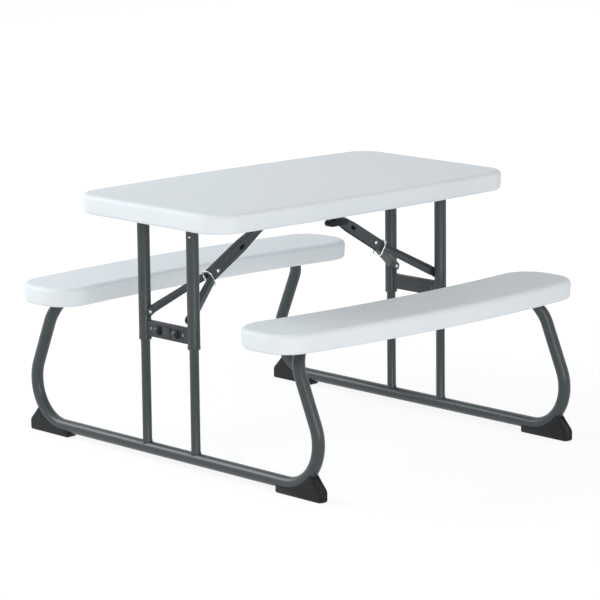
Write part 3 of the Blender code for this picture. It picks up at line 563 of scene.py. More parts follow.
def worn_finish(name, colour, groups, grain, marks, tones, wear, roughness, relief,
                specular=0.5, metallic=0.0, cloud=None):
    """A grained finish with handling marks.

    Grain gives the pebbles' and blotches' scales, marks the patches, scratches and cover, tones the darkest and
    lightest share of the colour, wear the strength and share of the marks, and relief the bump's strength and
    distance. A cloud makes the tones a fine speckle, with a slow tone of that share over it.
    """
    finish = bpy.data.materials.new(name)
    finish.use_nodes = True
    tree = finish.node_tree
    shader = tree.nodes["Principled BSDF"].inputs
    place = tree.nodes.new("ShaderNodeTexCoord").outputs["Object"]
    base = tuple(colour)
    pebbled = add_group(tree, groups["pebble"], place, Pebbles=grain[0], Blotches=grain[1])
    marked = add_group(tree, groups["marks"], place, Patches=marks[0], Scratches=marks[1], Cover=marks[2])
    dark, light = [shade(base, share) for share in tones]
    if cloud:
        speckle = ranged(tree, noise(tree, place, SPECKLE_SCALE, 1.0), *SPECKLE_SPAN, 0.0, 1.0)
        slow = math_node(tree, "MULTIPLY", pebbled["Tone"], CLOUD_STRENGTH)
        tint = mix_colour(tree, slow, mix_colour(tree, speckle, dark, light), shade(base, cloud))
    else:
        tint = mix_colour(tree, pebbled["Tone"], dark, light)
    rub = math_node(tree, "MULTIPLY", marked["Mask"], wear[0])
    feed(tree, shader["Base Color"], mix_colour(tree, rub, tint, shade(base, wear[1])))
    feed(tree, shader["Roughness"], ranged(tree, pebbled["Tone"], 0.0, 1.0, *roughness))
    feed(tree, shader["Specular IOR Level"], specular)
    feed(tree, shader["Metallic"], metallic)
    bump = tree.nodes.new("ShaderNodeBump")
    for label, value in (("Strength", relief[0]), ("Distance", relief[1]), ("Height", pebbled["Height"])):
        feed(tree, bump.inputs[label], value)
    feed(tree, shader["Normal"], bump.outputs["Normal"])
    return finish


def make_finishes():
    """Pale waxy polyethylene, dark grey powder coat, spark-grained black plastic and mottled zinc plate."""
    groups = {"pebble": pebble_group(), "marks": mark_group()}
    plastic = {"groups": groups, "grain": (1400.0, 22.0), "marks": (24.0, 320.0, 0.58), "tones": (0.85, 1.2),
               "wear": (0.5, 2.4), "relief": (0.2, 0.0002), "specular": 0.25}
    plate = {"groups": groups, "grain": (500.0, 90.0), "marks": (60.0, 500.0, 0.5), "tones": (0.88, 1.08),
             "wear": (0.4, 0.6), "roughness": (0.20, 0.34), "relief": (0.08, 0.0002), "metallic": 1.0}
    FINISHES["panel"] = worn_finish(
        "moulded_polyethylene", colours().panel, groups, grain=(620.0, 6.0), marks=(7.0, 120.0, 0.63),
        tones=(0.975, 1.015), wear=(0.16, 0.84), roughness=(0.50, 0.60), relief=(0.22, 0.0004), specular=0.25)
    FINISHES["coat"] = worn_finish(
        "grey_powder_coat", colours().coat, groups, grain=(900.0, 14.0), marks=(16.0, 240.0, 0.64),
        tones=(0.90, 1.10), wear=(0.35, 1.7), roughness=(0.26, 0.34), relief=(0.12, 0.0002), specular=0.36,
        cloud=1.14)
    FINISHES["black"] = worn_finish("black_moulded_plastic", colours().black, roughness=(0.34, 0.48), **plastic)
    FINISHES["latch"] = worn_finish("latch_plastic", colours().latch, roughness=(0.36, 0.5), **plastic)
    FINISHES["zinc"] = worn_finish("bright_zinc_plate", colours().zinc, **plate)
    FINISHES["dark_zinc"] = worn_finish("dark_zinc_plate", colours().dark_zinc, **plate)


# Legs

# The leg's end, counted in points of its path from the bench hinge
LEG_SHARES = (0.15, 0.3, 0.45, 0.6, 0.8)
DRAWN_POINTS = 4
DRAWN_HALVES = (0.0074, 0.0095)
SLIM_POINTS = 5
SLIM_RADIUS = 0.0115
SLIM_STEP = 0.0004

# Sections: pairs of radius and height for the barrel and the guide, of steps from an edge for the others
BARREL_HALF = [(0.0040, 0.0162), (0.0046, 0.0170), (0.0073, 0.0170), (0.0080, 0.0163)]
BORE_TOP = ((0.0, -0.0004), (0.0004, 0.0))
RIM_TOP = ((-0.0005, 0.0), (0.0, -0.0005))
COLLAR = ((0.0, 0.0065), (0.0004, 0.0055), (0.0004, 0.0012), (-0.0003, 0.0))
BORE_MOUTH = ((0.0004, 0.0), (0.0, 0.0006))
GUIDE = [(0.0, 0.281), (0.0098, 0.281), (0.0102, 0.2806), (0.0102, 0.261)]
GUIDE_FOOT_Z = 0.2595
WELD = ((0.0, 0.0035), (0.0008, 0.002), (0.0014, -0.0012))
WELD_ROOT = (0.0004, 0.004)

# The uprights' hinge ears
UPRIGHT_TOP = 0.496
EAR_R = 0.0104
EAR_BORE = 0.0068
EAR_DROP = 0.012
EAR_STEP = 0.002
EAR_ROOT = 0.9
EAR_THICKNESS = 0.005

# Feet, seen from the side
FOOT_HEIGHT = 0.0495
FOOT_LIP = 0.0063
FOOT_CORNER = 0.004
FOOT_TOE_R = 0.016
FOOT_REACH = 0.0045
FOOT_INSIDE = 0.0219
FOOT_BEND = (FLOOR_BEND_Y, FLOOR_TUBE_Z + FLOOR_BEND_R)
FOOT_LIP_R = FLOOR_BEND_R + FOOT_LIP
HEEL_STEP = 0.0010
SOLE_DRAW = 0.3
HEEL_DRAW = 0.12

# Feet, across
TOE_ROUND = 0.0095
FLANK_ROUND = 0.0030
FLANK_STEPS = 7
RIDGE_WIDTHS = 0.0095
SADDLE_PLAY = 0.0002


def floor_path(end):
    """From the front bench hinge down the leg, along the floor and up to the rear bench hinge."""
    corner_y = FLOOR_BEND_Y + FLOOR_BEND_R * tan((pi / 2 + LEG_LEAN) / 2)
    knee_z = KNEE_Z + KNEE_R * tan(KNEE_ANGLE / 2) * cos(LEG_LEAN)
    knee_y = corner_y - (knee_z - FLOOR_TUBE_Z) * tan(LEG_LEAN)
    half = [(end * BENCH_HINGE_X, BENCH_HINGE_Y, BENCH_HINGE_Z), (end * FRAME_X, knee_y, knee_z),
            (end * FRAME_X, corner_y, FLOOR_TUBE_Z)]
    corners = [(x, -y, z) for x, y, z in half] + half[::-1]
    path = rounded_path(corners, (KNEE_R, FLOOR_BEND_R, FLOOR_BEND_R, KNEE_R))
    run = (path[1] - path[0]).length
    way = (path[1] - path[0]) / run
    back = (path[-2] - path[-1]) / run
    steps = [run * share for share in LEG_SHARES]
    head = [path[0]] + [path[0] + way * s for s in steps]
    tail = [path[-1] + back * s for s in steps[::-1]] + [path[-1]]
    return head + path[1:-1] + tail


def leg_section(i, total, radius):
    """Half widths of the leg tube: slim beside the bench hinge, its end drawn down to the hinge barrel."""
    near = min(i, total - 1 - i)
    share = min(1.0, near / DRAWN_POINTS)
    share = share * share * (3 - 2 * share)
    radius = min(radius, SLIM_RADIUS + SLIM_STEP * max(0, near - SLIM_POINTS))
    return [drawn + (radius - drawn) * share for drawn in DRAWN_HALVES]


def foot_heel():
    """The centre of a foot's toe, the angle where its round ends, and the top of its sloping heel face."""
    out_y = FOOT_BEND[0] + FLOOR_BEND_R + sizes().tube_radius + FOOT_REACH
    toe = (out_y - FOOT_TOE_R, FOOT_TOE_R)
    heel_y = FOOT_BEND[0] + (FOOT_LIP_R ** 2 - (FOOT_BEND[1] - FOOT_HEIGHT) ** 2) ** 0.5 + HEEL_STEP
    slope = atan2(FOOT_HEIGHT - toe[1], heel_y - toe[0])
    tangent = slope - pi / 2 + asin(FOOT_TOE_R / hypot(heel_y - toe[0], FOOT_HEIGHT - toe[1]))
    return toe, tangent, (heel_y, FOOT_HEIGHT)


def foot_outline(toe_inset, inset):
    """Side view of a foot: flat sole, upright toe, sloping heel face, and a lip by the tube's outside."""
    toe, tangent, heel = foot_heel()
    draw = inset * SOLE_DRAW
    inner_y = FOOT_BEND[0] - FOOT_INSIDE + draw
    corner = FOOT_CORNER - draw
    toe_r = FOOT_TOE_R - toe_inset
    outline = [(inner_y, FLOOR_TUBE_Z - FOOT_LIP)]
    outline += arc((inner_y + corner, corner + draw), corner, pi, pi * 3 / 2, radians(15))
    outline += arc((toe[0] + toe_r - corner, corner + draw), corner, -pi / 2, 0, radians(15))
    outline += arc(toe, toe_r, 0, tangent)[1:]
    outline.append((heel[0] - inset * HEEL_DRAW, heel[1]))
    return outline + arc(FOOT_BEND, FOOT_LIP_R, asin((heel[1] - FOOT_BEND[1]) / FOOT_LIP_R), -pi / 2)


def foot_rings(end, row):
    """Slices across a foot, drawn in towards both flanks."""
    half = sizes().foot_half_width
    slices = []
    for turn in quarter(FLANK_STEPS):
        across = half - TOE_ROUND * (1 - cos(turn))
        past = max(0.0, across - half + FLANK_ROUND)
        inset = FLANK_ROUND - (FLANK_ROUND ** 2 - past ** 2) ** 0.5
        slices.append((-across, TOE_ROUND * (1 - sin(turn)), inset))
    slices += [(-across, toe_inset, inset) for across, toe_inset, inset in slices[::-1]]
    return [[Vector((end * FRAME_X + across, row * y, z)) for y, z in foot_outline(toe_inset, inset)]
            for across, toe_inset, inset in slices]


def heel_channel():
    """Side view of the channel that is sunk between two ridges down a foot's heel face and toe."""
    toe, tangent, heel = foot_heel()
    depth = 0.0026
    bottom = 0.006
    clear = 0.02
    over = 0.010
    outward = Vector((cos(tangent), sin(tangent)))
    high = Vector(heel) + Vector((-outward.y, outward.x)) * over
    outside = toe[0] + FOOT_TOE_R + clear
    channel = [(outside, bottom), (toe[0] + FOOT_TOE_R - depth, bottom)]
    channel += arc(toe, FOOT_TOE_R - depth, 0, tangent)
    return channel + [tuple(high - outward * depth), tuple(high + outward * clear), (outside, clear)]


# Brace

# Stays: their feet, tips and pressing, measured along them or half across
STAY_FOOT_Y = 0.0585
STAY_TIP_Y = 0.0155
STAY_FOOT_RUN = 0.018
STAY_FOOT_R = 0.0092
STAY_FOOT_TURNS = (0.12, 0.35, 0.6, 0.85, 1.1, 1.35, pi / 2)
STAY_TIP_GAP = 0.0242
STAY_TIP_HALF = 0.0080
STAY_TIP_ROUND = (0.001, 0.0008)
STAY_SHARES = (0.08, 0.25, 0.5, 0.75, 0.92)
PRESS_STATIONS = (0.010, 0.013, 0.016)
PRESS_RUN = 0.006
PRESS_FADE = 0.25
PRESS_SPREAD = 0.0012
PRESS_CREASE = 0.10
PRESS_LOW = 0.0006
PRESS_HIGH = 0.0060

# Upper arms, measured along them from the top pivot or half across
ARM_WALL = 0.002
ARM_NARROW = 0.0075
ARM_FLARE = (0.100, 0.152)
ARM_TIP = 0.025
ARM_HOLE_R = 0.0040
ARM_EDGE = 0.0010
CUT_PAST = 0.05
SLOT_BACK = 0.0765
SLOT_HALF = 0.0035
SLOT_R = 0.0038
SLOT_DEPTH = 3.4 * ARM_HALF_WIDTH
BUSH_HALF_LENGTH = 0.010
BUSH_HALF_HEIGHT = 0.006
BUSH_PRESS = 0.0004

# Lock rings
RING_PAST = 0.022
RING_HALF_HEIGHT = 0.0172
RING_HALF_WIDTH = 0.0122
RING_CORNER = 0.0064
RING_PLAY = 0.0006

# Rivets and bolts: head radius, head height and shank radius
MIDDLE_RIVET = (0.0038, 0.0018, 0.0030)
STAY_RIVET = (0.0036, 0.0018, 0.0028)
BAR_BOLT = (0.0032, 0.0018, 0.0019)
BOLT_SHORT = 0.0012
STOP_RIVET = (0.0022, 0.0010, 0.0016)
STOP_RIVET_SUNK = (0.0012, 0.0003)
STOP_RIVET_Z = 0.467
STOP_RIVET_TURN = radians(22)
DOME_TURNS = (pi / 2, 1.25, 0.95, 0.62, 0.3, 0.0)
DOME_FOOT = 0.97
SNUG = 0.0002

# Middle washers: radius and height off the arm's side
WASHER = ((0.0031, 0.0006), (0.0078, 0.0006), (0.0084, 0.0002), (0.0084, -0.0004), (0.0031, -0.0004))


def stay_rings(end, row):
    """Sections of a stay: a pressed bar whose upper half leans inwards along a crease."""
    up = Vector((-end * cos(BRACE_SLOPE), 0, sin(BRACE_SLOPE)))
    square = Vector((end * sin(BRACE_SLOPE), 0, cos(BRACE_SLOPE)))
    origin = Vector((end * FRAME_X, 0, STAY_Z))
    thick = sizes().stay_thickness
    tip = BRACE_RUN - STAY_TIP_GAP
    length_left = tip - STAY_FOOT_RUN
    narrowing = STAY_TIP_HALF - STAY_FOOT_R
    stations = [(-STAY_FOOT_R * cos(a), STAY_FOOT_R * sin(a)) for a in STAY_FOOT_TURNS]
    stations += [(run, STAY_FOOT_R) for run in (*PRESS_STATIONS, STAY_FOOT_RUN)]
    stations += [(STAY_FOOT_RUN + length_left * s, STAY_FOOT_R + narrowing * s) for s in STAY_SHARES]
    stations += [(tip - STAY_TIP_ROUND[0], STAY_TIP_HALF), (tip, STAY_TIP_HALF - STAY_TIP_ROUND[1])]
    rings = []
    for run, half in stations:
        share = max(0.0, (run - STAY_FOOT_RUN) / length_left)
        side_y = STAY_FOOT_Y + (STAY_TIP_Y - STAY_FOOT_Y) * share
        pressed = min(1.0, max(0.0, (run - PRESS_STATIONS[0]) / PRESS_RUN)) * (1 - share * PRESS_FADE)
        half += PRESS_SPREAD * pressed
        section = ((-half, -PRESS_LOW * pressed), (half * PRESS_CREASE, 0), (half, -PRESS_HIGH * pressed))
        ring = [(height, offset - thick / 2) for height, offset in section]
        ring += [(height, offset + thick / 2) for height, offset in section[::-1]]
        rings.append([origin + up * run + square * h + Vector((0, row * (side_y + o), 0)) for h, o in ring])
    return rings


def rivet_profile(low, high, head_r, head, shank_r, both=False):
    """A rivet's section along local Z, with a domed head above and, if wanted, one below."""
    dome = [(head_r * cos(a), high + head * sin(a)) for a in DOME_TURNS]
    profile = dome + [(head_r * DOME_FOOT, high), (shank_r, high), (shank_r, low)]
    if both:
        return profile + [(head_r * DOME_FOOT, low)] + [(r, low - (z - high)) for r, z in dome[::-1]]
    return profile + [(0.0, low)]


def arm_place(end, along):
    """A spot on the upper arm: local X down the arm, local Y square to it, local Z across."""
    down = (end * cos(BRACE_SLOPE), 0, -sin(BRACE_SLOPE))
    square = (end * sin(BRACE_SLOPE), 0, cos(BRACE_SLOPE))
    return axis_matrix((end * ARM_TOP_X, 0, ARM_TOP_Z), down, square) @ Matrix.Translation((along, 0, 0))


# Widths of the broken edges of small pieces and of kept CAD nodes
FINE_EDGE = 0.0005
PLATE_EDGE = 0.0006
BAR_EDGE = 0.0008
LUG_EDGE = 0.0009
BLOCK_EDGE = 0.0010

# Latches: places off the frame's middle plane and across the table, and sizes
BLOCK_HALVES = (0.0118, 0.0092)
BLOCK_CORNER = 0.0012
BLOCK_X = 0.0074
BLOCK_THICKNESS = 0.0032
LUG_Y = 0.0275
LUG_FACE_X = 0.0034
LUG_ROOT = 0.0022
LUG_STEP = 0.002
LUG_WIDTH = 0.012
LUG_TURNS = [radians(degrees) for degrees in range(-80, 81, 10)]
CAP_X = 0.0066
CAP_REACH = 0.0096
CAP_HALF = 0.0086
CAP_WIDTH = 0.0128
POCKET_SHARE = 0.74
POCKET_STEP = 0.0012
POCKET_DEPTH = 0.008
PLATE_X = 0.0003
PLATE_THICKNESS = 0.0058
PLATE_INNER_Y = 0.010
PLATE_GAP = 0.0008
PLATE_SLOT = (0.0455, 0.0555)
PLATE_SLOT_HALF = 0.0026
PIN_STEP = 0.0005
PIN = ((0.0, 0.0012), (0.0021, 0.0012), (0.0025, 0.0008), (0.0025, -0.004), (0.0, -0.004))

# Studio
FLOOR_SIZE = 14.0
FLOOR_DROP = 0.0006
FLOOR_GREY = (0.86, 0.86, 0.86, 1.0)
FLOOR_GLOW = 1.07
FLOOR_BOUNCE = 0.5
SHADOW_REACH = (0.7, 1.8)
SHADOW_GLOW = 0.80
SKY_LIGHT = 0.535
LIGHT_AIM = Vector((0, 0, 0.35))
CAMERA_LENS = 184.41
CAMERA_PLACE = (-4.21217, -4.52077, 1.49166)
CAMERA_RIGHT = Vector((0.72947, -0.68393, -0.01066))
CAMERA_UP = Vector((0.13904, 0.13300, 0.98131))


# Operators

class PICNIC_OT_table_top(bpy.types.Operator):
    """Model the moulded table top"""
    bl_idname = "picnic.table_top"
    bl_label = "Table Top"

    def execute(self, context):
        deck = sizes().top_deck
        top = moulded_panel("moulded_table_top", top_outline, TOP_LOW.z, TOP_HIGH.z, deck, sizes().top_wall)
        places = [(x, y) for x in TOP_DIMPLES_X for y in TOP_DIMPLES_Y if self.is_clear(abs(x), abs(y))]
        press_dimples(top, places, TOP_HIGH.z - deck, *TOP_DIMPLE)
        dress(top, "panel", "table_top", "table_top", angle=40)
        return {"FINISHED"}

    def is_clear(self, x, y):
        """Whether a dimple stays clear of the corners and of the tube clips."""
        return x < CORNER_DIMPLE_X if y > OUTER_DIMPLE_Y else x > CLIP_HALF_X


class PICNIC_OT_benches(bpy.types.Operator):
    """Model the two moulded benches"""
    bl_idname = "picnic.benches"
    bl_label = "Benches"

    def execute(self, context):
        deck = sizes().bench_deck
        for row_name, row in ROWS:
            name = row_name + "_bench"
            bench = moulded_panel("moulded_" + name, lambda inset: bench_outline(inset, row),
                                  BENCH_LOW.z, BENCH_HIGH.z, deck, sizes().bench_wall)
            places = [bench_point(x, y, row) for x in BENCH_DIMPLES_X for y in BENCH_DIMPLES_Y]
            press_dimples(bench, places, BENCH_HIGH.z - deck, *BENCH_DIMPLE)
            dress(bench, "panel", name, name, angle=40)
        return {"FINISHED"}


class PICNIC_OT_floor_tubes(bpy.types.Operator):
    """Model the bent floor tubes with their hinge barrels"""
    bl_idname = "picnic.floor_tubes"
    bl_label = "Floor Tubes"

    def execute(self, context):
        radius = sizes().tube_radius
        profile = BARREL_HALF + [(r, -h) for r, h in BARREL_HALF[::-1]]
        for end_name, end in ENDS:
            path = floor_path(end)
            total = len(path)
            rings = tube_rings(path, lambda i: leg_section(i, total, radius), sizes().sides, X_AXIS)
            tube = skin(end_name + "_bent_floor_tube", rings)
            barrels = []
            for row_name, row in ROWS:
                place = along_y((end * BENCH_HINGE_X, row * BENCH_HINGE_Y, BENCH_HINGE_Z))
                barrels.append(turned(end_name + "_" + row_name + "_barrel", profile, place, closed=True))
            merge(tube, *barrels)
            dress(tube, "coat", end_name + "_lower_frame", end_name + "_floor_tube")
        return {"FINISHED"}


class PICNIC_OT_uprights(bpy.types.Operator):
    """Model the telescoping uprights: upper tubes with hinge ears, and lower tubes"""
    bl_idname = "picnic.uprights"
    bl_label = "Uprights"

    def execute(self, context):
        for corner, end_name, end, row in CORNERS:
            place = Matrix.Translation((end * FRAME_X, row * UPRIGHT_Y, 0))
            tube = turned(corner + "_upright", self.upper_profile(), place, sizes().sides, closed=True)
            merge(tube, self.ear(corner + "_ear", end, row))
            dress(tube, "coat", end_name + "_upper_frame", corner + "_upper_tube")
            tube = turned(corner + "_inner_upright", self.lower_profile(), place, sizes().sides)
            dress(tube, "coat", end_name + "_lower_frame", corner + "_lower_tube")
        return {"FINISHED"}

    def upper_profile(self):
        radius = sizes().tube_radius
        bore = radius - sizes().tube_wall
        parts = ((bore, UPRIGHT_TOP, BORE_TOP), (radius, UPRIGHT_TOP, RIM_TOP),
                 (radius, TUBE_LOW.z, COLLAR), (bore, TUBE_LOW.z, BORE_MOUTH))
        return [(r + out, z + up) for r, z, steps in parts for out, up in steps]

    def ear(self, name, end, row):
        """The plate that carries an upright on its hinge axle."""
        root = FRAME_X - sizes().tube_radius * EAR_ROOT
        outline = arc((HINGE_X, HINGE_Z), EAR_R, pi / 2, pi * 5 / 4)
        outline += [(root, HINGE_Z - EAR_DROP), (root, UPRIGHT_TOP - EAR_STEP)]
        side = axis_matrix((0, row * UPRIGHT_Y, 0), (end, 0, 0), (0, 0, 1))
        plate = slab(name, outline, EAR_THICKNESS, side, PLATE_EDGE)
        drill(plate, EAR_BORE, along_y((end * HINGE_X, row * UPRIGHT_Y, HINGE_Z)))
        return plate

    def lower_profile(self):
        radius = sizes().lower_tube_radius
        floor_top = FLOOR_TUBE_Z + sizes().tube_radius
        weld = [(radius + out, floor_top + up) for out, up in WELD]
        root_z = FLOOR_TUBE_Z + WELD_ROOT[1]
        return GUIDE + [(radius, GUIDE_FOOT_Z)] + weld + [(radius + WELD_ROOT[0], root_z), (0.0, root_z)]


class PICNIC_OT_feet(bpy.types.Operator):
    """Model the four moulded feet"""
    bl_idname = "picnic.feet"
    bl_label = "Feet"

    def execute(self, context):
        channel_width = 2 * sizes().foot_half_width - RIDGE_WIDTHS
        bore = sizes().tube_radius + SADDLE_PLAY
        for corner, end_name, end, row in CORNERS:
            foot = skin(corner + "_moulded_foot", foot_rings(end, row))
            side = axis_matrix((end * FRAME_X, 0, 0), (0, row, 0), (0, 0, 1))
            carve(foot, slab("channel_cutter", heel_channel(), channel_width, side, BLOCK_EDGE))
            carve(foot, skin("foot_saddle", tube_rings(floor_path(end), lambda i: (bore, bore), 32, X_AXIS)))
            dress(foot, "black", end_name + "_lower_frame", corner + "_foot")
        return {"FINISHED"}


class PICNIC_OT_braces(bpy.types.Operator):
    """Model the upper arms, lock rings and stays"""
    bl_idname = "picnic.braces"
    bl_label = "Braces"

    def execute(self, context):
        for end_name, end in ENDS:
            self.upper_arm(end_name, end)
            self.lock_ring(end_name, end)
            for row_name, row in ROWS:
                name = end_name + "_" + row_name + "_stay"
                stay = skin(name + "_bar", stay_rings(end, row))
                round_edges(stay, PLATE_EDGE, 2, 14)
                dress(stay, "coat", end_name + "_stays", name, angle=30)
        return {"FINISHED"}

    def upper_arm(self, end_name, end):
        """A channel open underneath, narrow at its upper end, with its pivot holes and a slot in one wall."""
        place = arm_place(end, 0)
        near, far = ARM_FLARE
        tip = ARM_RUN + ARM_TIP
        corner = ARM_HALF_HEIGHT / 2
        outline = arc((0, 0), ARM_NARROW, pi / 2, 3 * pi / 2)
        outline += [(near, -ARM_NARROW), (far, -ARM_HALF_HEIGHT)]
        outline += arc((tip - corner, corner - ARM_HALF_HEIGHT), corner, -pi / 2, 0)
        outline += arc((tip - corner, ARM_HALF_HEIGHT - corner), corner, 0, pi / 2)
        outline += [(far, ARM_HALF_HEIGHT), (near, ARM_NARROW)]
        arm = slab(end_name + "_pressed_upper_arm", outline, 2 * ARM_HALF_WIDTH, place, ARM_EDGE)
        roof = ARM_HALF_HEIGHT - ARM_WALL
        low_roof = ARM_NARROW - ARM_WALL
        inside = [(-CUT_PAST, -CUT_PAST), (tip + CUT_PAST, -CUT_PAST), (tip + CUT_PAST, roof),
                  (far, roof), (near, low_roof), (-CUT_PAST, low_roof)]
        inside_width = 2 * (ARM_HALF_WIDTH - ARM_WALL)
        carve(arm, slab("channel_cutter", inside, inside_width, place))
        for along in (0, ARM_RUN):
            drill(arm, ARM_HOLE_R, arm_place(end, along))
        middle = ARM_RUN - SLOT_BACK
        slot = arc((middle + SLOT_HALF, 0), SLOT_R, -pi / 2, pi / 2)
        slot += arc((middle - SLOT_HALF, 0), SLOT_R, pi / 2, 3 * pi / 2)
        front = place @ Matrix.Translation((0, 0, end * ARM_HALF_WIDTH))
        carve(arm, slab("slot_punch", slot, 2 * ARM_HALF_WIDTH, front))
        block = rectangle(middle - BUSH_HALF_LENGTH, middle + BUSH_HALF_LENGTH, BUSH_HALF_HEIGHT)
        bush = slab(end_name + "_slot_bush", block, inside_width + BUSH_PRESS, place, ARM_EDGE)
        carve(bush, slab("slot_punch", slot, SLOT_DEPTH, front))
        merge(arm, bush)
        dress(arm, "coat", end_name + "_upper_arm", end_name + "_upper_arm")

    def lock_ring(self, end_name, end):
        """A wire loop that hangs on the arm."""
        wire = sizes().ring_wire
        hang = ARM_HALF_HEIGHT + RING_PLAY + wire - RING_HALF_HEIGHT
        place = arm_place(end, ARM_RUN + RING_PAST)
        loop = rounded_rectangle(RING_HALF_HEIGHT, RING_HALF_WIDTH, RING_CORNER, RING_CORNER, 4, radians(10))
        path = [place @ Vector((0, hang + height, width)) for height, width in loop]
        rings = tube_rings(path, lambda i: (wire, wire), 16, place.to_3x3() @ X_AXIS, closed=True)
        ring = skin(end_name + "_wire_lock_ring", rings, closed=True)
        dress(ring, "zinc", end_name + "_lock_ring", end_name + "_lock_ring", angle=60)


class PICNIC_OT_fasteners(bpy.types.Operator):
    """Model the rivets and bolts, and finish the pins and axles"""
    bl_idname = "picnic.fasteners"
    bl_label = "Fasteners"

    def execute(self, context):
        for end_name, end in ENDS:
            self.middle_rivet(end_name, end)
            for row_name, row in ROWS:
                corner = end_name + "_" + row_name
                self.stay_rivet(corner, end_name, end, row)
                self.latch_bolt(corner, end_name, end)
                keep_node(row_name + "_bench_" + end_name + "_hinge_pin", "zinc", FINE_EDGE)
            keep_node(end_name + "_hinge_axle", "coat", BAR_EDGE)
            keep_node(end_name + "_top_pivot_pin", "zinc", FINE_EDGE)
        self.stop_rivet("left", -1, -1)
        self.stop_rivet("right", 1, 1)
        return {"FINISHED"}

    def middle_rivet(self, end_name, end):
        place = arm_place(end, ARM_RUN)
        half = ARM_HALF_WIDTH + SNUG
        profile = rivet_profile(-half, half, *MIDDLE_RIVET, both=True)
        rivet = turned(end_name + "_domed_middle_rivet", profile, place)
        dress(rivet, "zinc", end_name + "_upper_arm", end_name + "_middle_rivet")
        washers = []
        for side in (-1, 1):
            profile = [(r, side * (ARM_HALF_WIDTH + h)) for r, h in WASHER[::side]]
            washers.append(turned(end_name + "_middle_washer", profile, place, closed=True))
        dress(merge(*washers), "coat", end_name + "_upper_arm")

    def stay_rivet(self, corner, end_name, end, row):
        place = axis_matrix((end * FRAME_X, 0, STAY_Z), (row * end, 0, 0), (0, 0, end))
        low = sizes().tube_radius + SNUG / 2 - UPRIGHT_Y
        high = sizes().stay_thickness / 2 + SNUG - STAY_FOOT_Y
        rivet = turned(corner + "_domed_stay_rivet", rivet_profile(low, high, *STAY_RIVET), place)
        dress(rivet, "zinc", end_name + "_upper_frame", corner + "_stay_rivet")

    def latch_bolt(self, corner, end_name, end):
        low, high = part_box(corner + "_latch_bolt")
        place = along_x((end * FRAME_X, (low.y + high.y) / 2, (BAR_LOW.z + BAR_HIGH.z) / 2), end)
        outer = -BAR_LOW.x - FRAME_X + SNUG
        inner = -BAR_HIGH.x - FRAME_X + BOLT_SHORT
        bolt = turned(corner + "_bar_bolt", rivet_profile(inner, outer, *BAR_BOLT), place)
        dress(bolt, "dark_zinc", end_name + "_upper_frame", corner + "_latch_bolt")

    def stop_rivet(self, end_name, end, row):
        """The small rivet that stops an upright's lower tube."""
        turn = Matrix.Rotation(STOP_RIVET_TURN, 4, "Z")
        middle = Matrix.Translation((end * FRAME_X, row * UPRIGHT_Y, STOP_RIVET_Z))
        radius = sizes().tube_radius
        root, seat = STOP_RIVET_SUNK
        profile = rivet_profile(radius - root, radius - seat, *STOP_RIVET)
        rivet = turned(end_name + "_stop_rivet", profile, middle @ turn @ along_x((0, 0, 0), end), 24)
        dress(rivet, "zinc", end_name + "_upper_frame")


